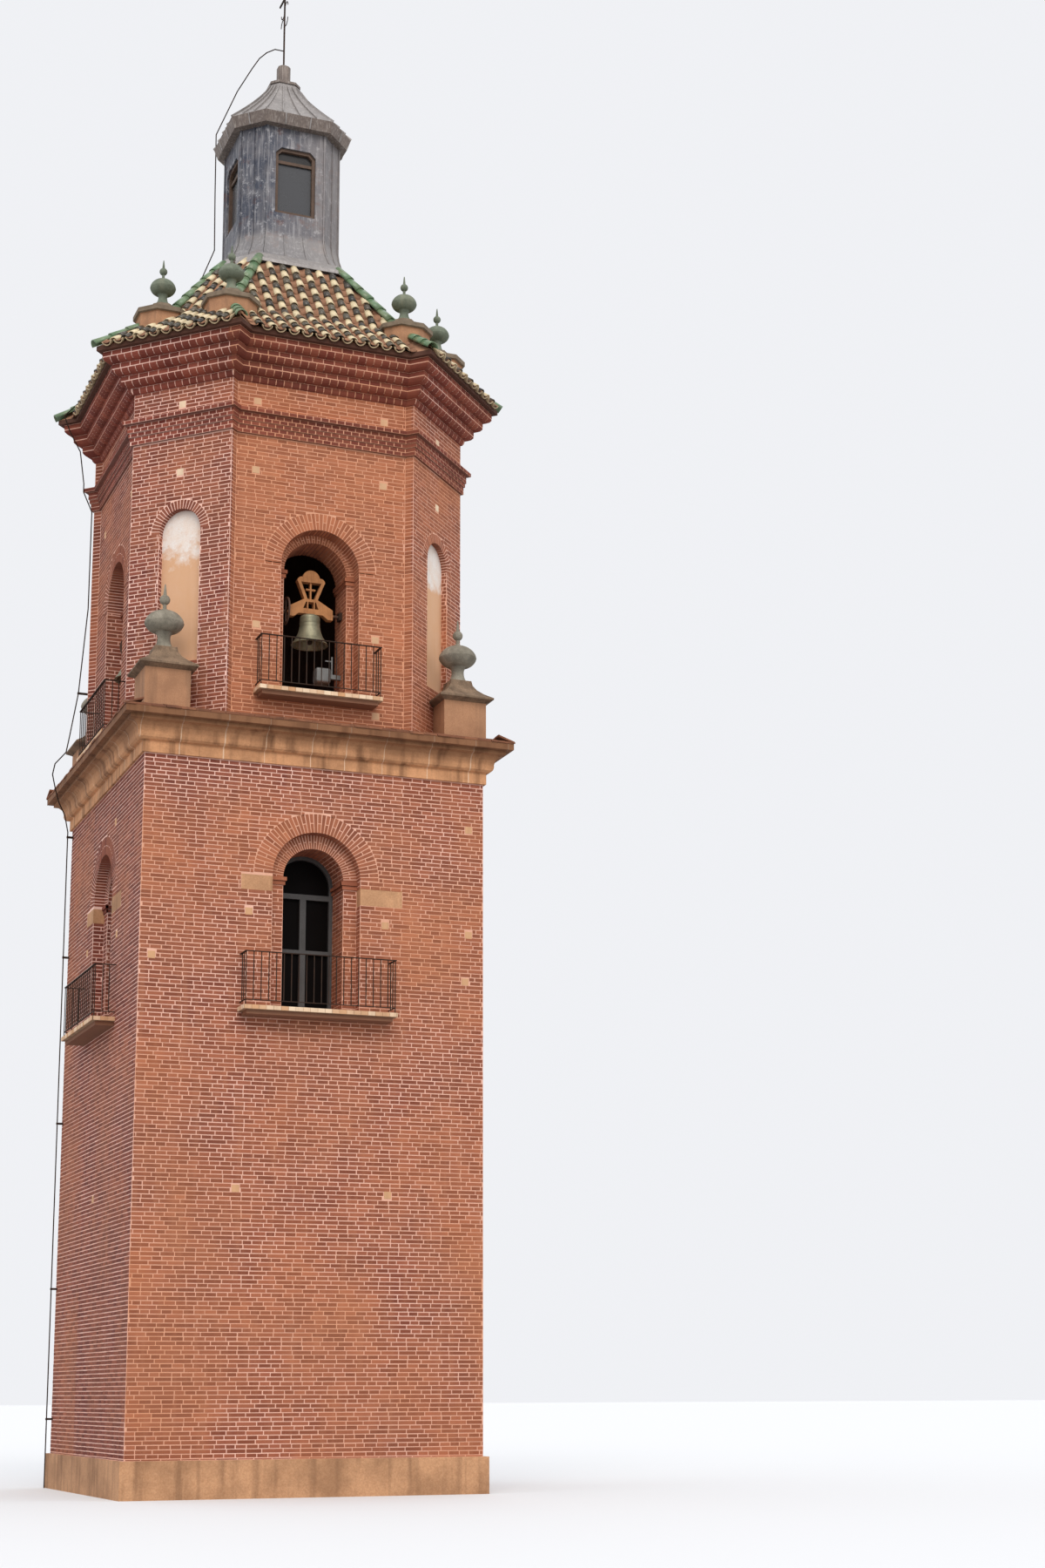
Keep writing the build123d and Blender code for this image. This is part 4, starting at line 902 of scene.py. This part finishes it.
# %% [markdown]
# ## String course and cornice
# The cornice is a first round of moulded brick and three corbelled ones above it, each with a plain
# course on top. A moulded brick is its section carried a short way along the wall. Its ends are cut by
# the mitre, so a course can run into a corner of any angle: each point of the section stops where its
# own outline stops.


# %% Moulded courses
def moulded(ends, section, place, limit, back):
    """Bricks with the section (reach, level), from ends[:, 0] to ends[:, 1] along a side, cut at limit(reach)."""
    reach, level = np.array(section).T
    count = len(reach)
    units = []
    for face_reach in (reach + proud, np.full(count, back)):
        stop = limit(face_reach)
        along = np.clip(ends[:, :, None], -stop, stop)
        units.append(place(along, np.broadcast_to(face_reach, along.shape), level))
    units = np.stack(units, axis=2).reshape(len(ends), 4 * count, 3)
    front_first, back_first, front_last, back_last = np.arange(4 * count).reshape(4, count)
    quads = sleeve(np.stack([front_first, front_last, back_last, back_first], axis=1))
    return units, quads, chance.random(len(ends))


def course_round(section, length, shift, back):
    """One course round the whole belfry: eight sides of bricks and the short returns between them."""
    parts = []
    widest = belfry_sides(max(reach for reach, _ in section) + proud)
    for step in range(8):
        quarters, diagonal = step / 2, step % 2 == 1
        at, along = (2, 3) if diagonal else (0, 1)
        stop = float(widest[along])
        count = math.ceil(stop / length)
        starts = (np.arange(-count - 1, count + 1) + shift) * length
        ends = np.stack([starts + 0.009, starts + length - 0.009], axis=1)
        ends = ends[(ends[:, 1] > -stop + least_piece) & (ends[:, 0] < stop - least_piece)]

        def on_wall(s, r, z):
            return spot(quarters, s, -belfry_sides(r)[at], z)

        parts.append(moulded(ends, section, on_wall, lambda r: belfry_sides(r)[along], back))
        for side in (-1, 1) if diagonal else ():
            def on_return(s, r, z):
                _, _, far, across, near = belfry_sides(r)
                return spot(quarters, side * across, -near - (far - near) * (s + 1) / 2, z)

            parts.append(moulded(np.array([[-1.0, 1.0]]), section, on_return, np.ones_like, back))
    return parts


def upright(reach, low, high, gap=0.02):
    """The section of a plain course."""
    return [(reach, low + gap / 2), (reach, high - gap / 2)]


def rounded(reach, out, low, height, gap=0.022):
    """The section of a quarter round, out * sin a by height * (1 - cos a), moved proud along its normal."""
    section = []
    for a in np.radians([0, 22, 45, 68, 90]):
        normal = np.array([height * math.sin(a), -out * math.cos(a)])
        normal *= proud / np.hypot(*normal)
        level = min(low + height * (1 - math.cos(a)), low + height - gap / 2)
        section.append((reach + out * math.sin(a) + normal[0] - proud, level + normal[1]))
    return section


moulded_length, plain_length = 0.145, 0.20
string_parts = []
for reach, low, high, shift in (
    (0.045, 17.94, 18.01, 0), (0.045, 18.01, 18.08, 0.5), (0.067, 18.085, 18.155, 0),
    (0.085, 18.16, 18.23, 0.5), (0.085, 18.23, 18.30, 0), (0.155, 18.305, 18.375, 0.5),
):
    string_parts += course_round(upright(reach, low, high, 0.012), moulded_length, shift, reach - 0.04)
add_piece("string_course_bricks", string_parts, dark_brick)

out, round_height, plain_height = 0.135, 0.10, 0.095
reach, level = 0.06, 19.01
cornice_parts = course_round(rounded(0, reach, 18.9, 0.11), moulded_length, 0, -0.02)
for row in range(3):
    cornice_parts += course_round(rounded(reach, out, level, round_height), moulded_length, 0.5, reach - 0.03)
    reach += out
    level += round_height
    plain_course = upright(reach, level, level + plain_height)
    cornice_parts += course_round(plain_course, plain_length, 0.5 * (row % 2), reach - 0.04)
    level += plain_height
add_piece("cornice_bricks", cornice_parts, dark_brick)

# %% [markdown]
# ## Putlog stones
# The holes where the scaffold's poles went into the wall are closed with squares of pale stone, each
# a little lower than its hole, so that a dark slit stays above it.

# %% Putlog stones
groups = [(quarters, shaft_half, places, 0.9) for quarters, places in shaft_putlogs.items()]
groups += [(quarters, belfry_face, places, 0.75) for quarters, places in belfry_putlogs.items()]
groups += [(quarters, diagonal_face, diagonal_putlogs, 0.1) for quarters in diagonals]
parts = []
for quarters, distance, places, tone in groups:
    x, z = np.array(places).T
    cells = np.stack([x - 0.062, x + 0.062, z - 0.07, z + 0.05], axis=1)
    parts.append(raised(cells, on_side(quarters, distance), high=0.004, tone=tone))
add_piece("putlog_stones", parts, cream_stone)

# %% [markdown]
# ## Roof tiles
# Rows of half-round cover tiles run down each slope over brown pans. The covers are glazed cream and
# black in turn, and each row starts with the other colour than its neighbour. A tile is half a tube
# that narrows a little towards its head; its lower end lies on the tile below.


# %% Tiles on the eight slopes
def half_tubes(foot, along, across, away, length, low_radius, high_radius, thick, lift, sides=7, up=1.0, bare=0.0):
    """Half tubes from foot points, each with its three directions. up is 1 for a cover, -1 for a pan, and
    bare is the angle left out at each edge, for a shallow arc."""
    angle = np.linspace(bare, math.pi - bare, sides)
    units = []
    for share, radius, raise_by in ((0.0, low_radius, lift), (1.0, high_radius, 0.0)):
        for wall_radius in (radius, radius - thick):
            side = wall_radius * np.cos(angle)
            rise = up * wall_radius * np.sin(angle) + raise_by
            points = foot[:, None] + along[:, None] * (share * length)
            units.append(points + across[:, None] * side[None, :, None] + away[:, None] * rise[None, :, None])
    low_outer, low_inner, high_outer, high_inner = np.arange(4 * sides).reshape(4, sides)
    quads = sleeve(np.stack([low_outer, low_inner, high_inner, high_outer], axis=1))
    return np.concatenate(units, axis=1), quads


eave_top, knee_level, head_level = 19.675, 20.50, 22.10
knee_half, knee_side, head_half, head_side, hip_step = 2.46, 1.54, 1.27, 0.74, 0.03
eave = [float(v) for v in belfry_sides(0.555)]
main_path = np.array([
    [eave[0], eave_top, eave[1]], [knee_half, knee_level, knee_side], [head_half, head_level, head_side]
])
diagonal_path = np.array([
    [eave[2], eave_top, eave[3]],
    [(knee_half + knee_side + 2 * hip_step) / root2, knee_level, (knee_half - knee_side) / root2],
    [(head_half + head_side + 2 * hip_step) / root2, head_level, (head_half - head_side) / root2],
])
row_pitch, tile_step, tile_length, last_room, most_rows = 0.241, 0.247, 0.32, 0.26, 12


def tile_rows(path, quarters, offset, hang, inset, rise, **tube):
    """Tiles over one slope. The path's columns are distance, level and half length from eave to head."""
    runs = np.hypot(np.diff(path[:, 0]), np.diff(path[:, 1]))
    stations = np.concatenate([[0], np.cumsum(runs)])
    d = np.arange(int((stations[-1] + hang) / tile_step) + 1) * tile_step - hang
    d = d[d < stations[-1] - last_room]
    half = np.interp(d + tile_length * 0.7, stations, path[:, 2])
    step, row = np.meshgrid(np.arange(len(d)), np.arange(-most_rows, most_rows + 1) + offset, indexing="ij")
    keep = np.abs(row * row_pitch) < half[step] - inset
    step, row = step[keep], row[keep]
    middle = np.clip(d[step] + tile_length / 2, 0.05, stations[-1] - 0.01)
    part = np.searchsorted(stations, middle) - 1
    slope = np.diff(path[:, :2], axis=0)[part] / runs[part][:, None]
    start = path[part, :2] + slope * (d[step] - stations[part])[:, None]
    flat = np.zeros(len(row))
    foot = np.stack([row * row_pitch, -start[:, 0], start[:, 1]], axis=1)
    along = np.stack([flat, -slope[:, 0], slope[:, 1]], axis=1)
    away = np.stack([flat, -slope[:, 1], -slope[:, 0]], axis=1)
    across = np.broadcast_to([1.0, 0, 0], foot.shape)
    foot = foot + away * rise + across * chance.normal(0, 0.006, (len(foot), 1))
    vectors = (turned(v, quarters) for v in (foot, along, across, away))
    units, quads = half_tubes(*vectors, **tube)
    colour = (step + np.round(row - offset).astype(int)) % 2
    return units, quads, np.clip(colour * 0.92 + chance.normal(0.03, 0.05, len(foot)), 0, 1)


cover = dict(rise=0.018, length=tile_length, low_radius=0.082, high_radius=0.068, thick=0.014, lift=0.016)
pan = dict(
    rise=0.117, length=tile_length, low_radius=0.105, high_radius=0.105, thick=0.012, lift=0.014, up=-1.0, bare=0.61
)
pan_end = dict(length=0.20, low_radius=0.096, high_radius=0.096, thick=0.016, lift=0.0, sides=9, up=-1.0, bare=0.12)
slopes = [((main_path, diagonal_path)[step % 2], step / 2) for step in range(8)]
covers, pans, eave_ends = [], [], []
for path, quarters in slopes:
    covers.append(tile_rows(path, quarters, 0.5, 0.035, 0.02, **cover))
    pans.append(tile_rows(path, quarters, 0.0, 0.05, 0.0, **pan))
pans = [(units, quads, chance.random(len(units))) for units, quads, _ in pans]
for path, quarters in slopes:
    count = int((path[0, 2] - 0.06) / row_pitch)
    x = np.arange(-count, count + 1) * row_pitch
    slope = (path[1, :2] - path[0, :2]) / np.hypot(*(path[1, :2] - path[0, :2]))
    along, across, away = np.array([[0, -slope[0], slope[1]], [1.0, 0, 0], [0, -slope[1], -slope[0]]])
    foot = np.stack(np.broadcast_arrays(x, -path[0, 0] - 0.065, path[0, 1] - 0.02), axis=1) + away * 0.058
    vectors = (turned(np.broadcast_to(v, foot.shape), quarters) for v in (foot, along, across, away))
    units, quads = half_tubes(*vectors, **pan_end)
    eave_ends.append((units, quads, 0.55 + 0.35 * chance.random(len(units))))
add_piece("cover_tiles", covers, cream_tile, smooth=True)
add_piece("pan_tiles", pans, clay_tile, smooth=True)
add_piece("eave_pan_ends", eave_ends, eave_cream, smooth=True)

# %% [markdown]
# ## Hip tiles
# The eight hips are closed with larger half-round tiles glazed green, which lap downhill and end a
# little past the eave. They replace the plain ridge of the frame.

# %% Hip tiles
hip_tile = dict(length=0.42, low_radius=0.106, high_radius=0.094, thick=0.016, lift=0.012, sides=9)
hip_pitch, hip_rise = 0.36, 0.02
jut = (eave[2] - eave[4]) / root2
corner = np.array([eave[1] + jut, -eave[0] - jut, eave_top])
knee, head = np.array([1.57, -2.49, knee_level]), np.array([0.77, -1.30, head_level])
parts = []
for mirror_sign in (-1, 1):
    for quarters in range(4):
        for start, end, first in ((corner, knee, -0.03), (knee, head, 0.0)):
            run = np.linalg.norm(end - start)
            direction = (end - start) / run
            side = np.cross(direction, [0, 0, 1.0])
            side /= np.linalg.norm(side)
            away = np.cross(side, direction)
            foot = start + direction * np.arange(first, run - 0.1, hip_pitch)[:, None] + away * hip_rise
            vectors = [np.broadcast_to(v, foot.shape) * [mirror_sign, 1, 1] for v in (foot, direction, side, away)]
            units, quads = half_tubes(*(turned(v, quarters) for v in vectors), **hip_tile)
            parts.append((units, quads, chance.random(len(units))))
add_piece("hip_cover_tiles", parts, green_glaze, smooth=True, replaces=["hip_tiles"])

# %% [markdown]
# ## Tiles of the terrace and the balconies
# The stone cornice is capped with uneven terracotta tiles, and the slope behind them has the same
# colour. The balcony slabs have an edge of cream tiles.

# %% Terrace tiles and slab edges
edge_reach, cornice_top, terrace_slope = 3.42, 12.72, 0.34
edge_tile, edge_half, edge_depth = 0.25, 3.44, 0.30
parts = []
for quarters in range(4):
    starts = np.arange(-14, 14) * edge_tile
    first, last = np.stack([starts, starts + edge_tile - 0.005]).clip(-edge_half, edge_half)
    first, last = first[last - first > 0.05], last[last - first > 0.05]
    jut = chance.normal(0.012, 0.006, len(first)).clip(0, 0.025)[:, None]
    rise = chance.normal(0.0, 0.003, len(first))[:, None]

    def on_terrace(u, v, w):
        return spot(quarters, u, v - edge_reach - jut, cornice_top + 0.012 + rise + v * terrace_slope + w)

    cells = np.stack(np.broadcast_arrays(first, last, 0.0, edge_depth), axis=1)
    parts.append(raised(cells, on_terrace, high=0.026))
add_piece("terrace_edge_tiles", parts, terracotta)

slab_tile, slab_reach = 0.125, 0.38


def slab_edge(quarters, face, half, level, shift=0.0):
    """Tiles along the front and the two ends of a balcony slab."""
    def tile_row(first, last, place):
        cells = np.stack(np.broadcast_arrays(first, last, level - 0.07, level - 0.002), axis=1)
        return raised(cells, place, low=-0.01, high=0.012)

    starts = np.arange(-half, half - 0.01, slab_tile)
    last = np.minimum(starts + 0.122, half)
    parts = [tile_row(starts + 0.003 - shift, last - shift, on_side(quarters, face + slab_reach))]
    depths = np.arange(0, 0.36, slab_tile)
    for side in (-1, 1):
        def on_end(u, v, w):
            return spot(quarters, side * (half + w) - shift, -face - u, v)

        parts.append(tile_row(depths, np.minimum(depths + 0.12, slab_reach), on_end))
    return parts


parts = []
for quarters, (level, shift) in enumerate(((0.0, 0.06), (left_step, 0.0), (0.0, 0.0), (0.0, 0.0))):
    parts += slab_edge(quarters, belfry_face, 1.09, floor_level - level, shift)
add_piece("slab_edge_tiles", parts, cream_stone)
parts = []
for quarters in range(4):
    parts += slab_edge(quarters, shaft_half, 1.32, upper_level)
add_piece("shaft_slab_edge_tiles", parts, cream_stone)

# %% [markdown]
# ## Seams of the lantern
# The lantern is boarded and covered with lead sheet. The sheets meet in standing seams: at each corner,
# up the middle of the faces, over the flared skirt and up the curved roof. A seam is a thin upright
# strip carried along a path on the surface.

# %% Seams
lantern_half, lantern_side, lantern_foot, lantern_head = 0.97, 0.57, 22.88, 25.05
lantern_eave, roof_top, eave_half = 25.26, 26.42, 1.18
skirt_foot, skirt_height, skirt_reach = 22.10, 0.78, 1.33
eave_side = lantern_side + (eave_half - lantern_half) * (root2 - 1)


def side_of(half):
    """Half the length of a main side, at the lantern's half width or further out."""
    return lantern_side + (np.asarray(half) - lantern_half) * (root2 - 1)


def seam(step, levels, halves, sides, share, width, height, lean=(1.0, 0.0)):
    """A strip up one of the eight faces, at a share of its half length. lean is its way out and up."""
    levels, halves, sides = (np.asarray(v, float) for v in (levels, halves, sides))
    if step % 2 == 1:
        halves, sides = (halves + sides) / root2, (halves - sides) / root2
    path = spot(step / 2, share * sides, -halves, levels)
    side = turned([1.0, 0, 0], step / 2)
    away = turned([0, -1.0, 0], step / 2) * lean[0] + np.array([0, 0, lean[1]])
    corners = [path - side * width / 2 - away * 0.01, path + side * width / 2 - away * 0.01]
    corners += [path + side * width / 2 + away * height, path - side * width / 2 + away * height]
    quads = sleeve(np.arange(len(path) * 4).reshape(-1, 4))
    return np.stack(corners, axis=1).reshape(1, -1, 3), quads, chance.random(1)


def octagon_band(stations, thick):
    """A closed sheet round the tower through stations (level, half, side half), thick metres deep."""
    loops = []
    for inset in (0.0, thick):
        for level, half, side_half in stations:
            corner = np.array([[side_half, -half + inset, level], [half - inset, -side_half, level]])
            loops.append(np.concatenate([turned(corner, -k) for k in range(4)]))
    loops = np.array(loops[:len(stations)] + loops[:len(stations) - 1:-1])
    return loops.reshape(1, -1, 3), grid_quads(np.arange(8 * len(loops)).reshape(-1, 8)), np.array([0.5])


apron = [(22.045, 1.425, 0.80), (22.12, 1.40, 0.79), (22.20, 1.325, 0.765), (22.30, 1.235, 0.73)]
add_piece("skirt_apron", [octagon_band(apron, 0.02)], roof_lead)

skirt_share, roof_share = np.linspace(0, 1, 6), np.linspace(0, 0.93, 7)
skirt_level = skirt_foot + skirt_height * skirt_share
skirt_half = lantern_half + (skirt_reach - lantern_half) * (1 - skirt_share) ** 1.8
roof_level = lantern_eave + (roof_top - lantern_eave) * roof_share
roof_half = 0.27 + (eave_half - 0.27) * (1 - roof_share) ** 1.25
wall_seams, roof_seams = [], []
for step in range(8):
    main = step % 2 == 0
    for share in (-0.98, -0.35, 0.3, 0.98) if main else (-0.96, 0.05, 0.96):
        wall_seams.append(seam(step, skirt_level, skirt_half, side_of(skirt_half), share, 0.022, 0.02))
        if not main or abs(share) > 0.9:
            halves = [lantern_half] * 2
            wall_seams.append(seam(step, [lantern_foot, lantern_head], halves, side_of(halves), share, 0.03, 0.02))
    for share in (-1.0, -0.5, 0.0, 0.5) if main else (-1.0, -0.33, 0.33):
        roof_side = roof_half * eave_side / eave_half
        roof_seams.append(seam(step, roof_level, roof_half, roof_side, share, 0.02, 0.03, lean=(0.6, 0.8)))
    for share in (-0.4, 0.35) if main else (0.0,):
        halves = [1.11, eave_half]
        levels = [lantern_head + 0.006, lantern_eave]
        roof_seams.append(seam(step, levels, halves, side_of(halves), share, 0.02, 0.014))
add_piece("lantern_seams", wall_seams, old_lead)

transom = [[-0.33, 0.33, 24.35, 24.41]]
parts = [raised(transom, on_side(quarters, 0.895), low=-0.012, high=0.012) for quarters in range(4)]
add_piece("lantern_transoms", parts, brown_frame)
add_piece("lantern_roof_seams", roof_seams, roof_lead)

# %% [markdown]
# ## Rings of the bells
# A cast bell carries raised rings above its lip, at its waist and at its shoulder. The bell's side is an
# arc of a circle through lip, waist and shoulder, so a ring's radius at a level comes from that circle.


# %% Bell rings
def arc_through(first, middle, last):
    """Centre and radius of the circle through three (radius, level) points."""
    first, middle, last = (np.array(p, float) for p in (first, middle, last))
    rows = 2 * np.array([middle - first, last - first])
    centre = np.linalg.solve(rows, [middle @ middle - first @ first, last @ last - first @ first])
    return centre, float(np.hypot(*(first - centre)))


def ring_band(axle, radius, height, share, size, count=72, sides=8):
    """A half-round ring about a bell: its foot lies on the side's arc at lip + share * height."""
    lip = -height - 0.04
    centre, curve = arc_through((radius, lip), (0.7 * radius, lip + 0.3 * height), (0.55 * radius, lip + 0.86 * height))
    level = lip + share * height
    side = centre[0] - math.sqrt(curve**2 - (level - centre[1]) ** 2)
    turn, tilt = np.meshgrid(*(np.arange(n) * 2 * math.pi / n for n in (count, sides)), indexing="ij")
    away = side - 0.3 * size + size * np.cos(tilt)
    points = np.stack([away * np.cos(turn), away * np.sin(turn), level + size * np.sin(tilt)], axis=-1) + np.array(axle)
    quads = grid_quads(np.arange(count * sides).reshape(count, sides).T)
    return points.reshape(1, -1, 3), quads, np.array([0.5])


ring_sizes = ((0.05, 0.008), (0.17, 0.007), (0.20, 0.005), (0.60, 0.005), (0.72, 0.007), (0.755, 0.005))
for bell_name, axle, radius, height in (
    ("front_bell", (0, -2.35, 15.02), 0.325, 0.54), ("left_bell", (-2.5, 0, 14.95), 0.42, 0.71),
):
    rings = [ring_band(axle, radius, height, share, size) for share, size in ring_sizes]
    add_piece(f"{bell_name}_rings", rings, bell_bronze, body=bell_name, smooth=True)

# %% [markdown]
# ## The frame's own solids
# Each solid of the frame takes one finish. The brick walls are painted as mortar, because what shows of
# them is the joints between the bricks.

# %% Paint the frame's solids
walls = [f"{side}_{storey}_wall" for storey in ("shaft", "belfry") for side in face_names]
painted = {
    mortar: [*walls, "diagonal_belfry_walls", "string_course", "upper_cornice"],
    sandstone: ["plinth", "impost_stones"],
    entablature: ["lower_cornice"],
    terracotta: ["terrace"],
    floor_clay: ["ground_floor", "upper_floor", "belfry_floor"],
    clay_tile: ["roof_shell"],
    green_glaze: ["hip_tiles"],
    peach_plaster: ["corner_pedestals"],
    worn_stone: ["corner_pedestal_caps"],
    pedestal_finish: ["roof_pedestals"],
    urn_stone: ["corner_urns"],
    urn_glaze: ["roof_urns"],
    niche_finish: ["niche_plaster"],
    slab_finish: ["shaft_balcony_slabs", "belfry_balcony_slabs"],
    old_lead: ["lantern_walls", "lantern_corner_walls", "lantern_skirt"],
    roof_lead: ["lantern_roof"],
    fascia_lead: ["lantern_cornice", "finial_post"],
    brown_frame: ["lantern_window_frames"],
    lantern_glass: ["lantern_panes"],
    door_glass: ["balcony_door_panes"],
    grey_paint: ["balcony_door_frames"],
    dark_timber: ["entrance_door"],
    black_iron: ["shaft_railings", "belfry_railings", "cross", "conductor_cable", "cable_brackets", "bell_bearings",
                 "front_clapper", "left_clapper"],
    bell_bronze: ["front_bell", "left_bell"],
    orange_timber: ["front_yoke", "left_yoke"],
    motor_grey: ["striking_motor"],
}
for finish, names in painted.items():
    for name in names:
        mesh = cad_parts[name].data
        mesh.materials.clear()
        mesh.materials.append(finish)
unpainted = sorted(set(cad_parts) - {n for names in painted.values() for n in names})
print("painted", sum(len(n) for n in painted.values()), "solids, left:", unpainted)

# %% [markdown]
# ## Floor
# A wide pale floor carries the tower's soft shadow.

# %% Floor
size = 400.0
floor_mesh = bpy.data.meshes.new("floor")
floor_mesh.from_pydata([(-size, -size, 0), (size, -size, 0), (size, size, 0), (-size, size, 0)], [], [(0, 1, 2, 3)])
floor = bpy.data.objects.new("floor", floor_mesh)
bpy.context.collection.objects.link(floor)
floor_finish, tree, shader = new_finish("floor_pale")
direct = add_node(tree, "LightPath").outputs["Is Camera Ray"]
floor_colour = blend_colours(tree, direct, (0.40, 0.40, 0.40, 1), (0.74, 0.74, 0.75, 1))
tree.links.new(floor_colour, shader.inputs["Base Color"])
shader.inputs["Roughness"].default_value = 0.9
floor_mesh.materials.append(floor_finish)
floor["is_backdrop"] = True
print("floor", 2 * size, "m wide")

# %% [markdown]
# ## Close the book
# The box of the finished model is printed.

# %% Sizes and finish
low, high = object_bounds()
print("visual", [round(v, 3) for v in (*low, *high)])
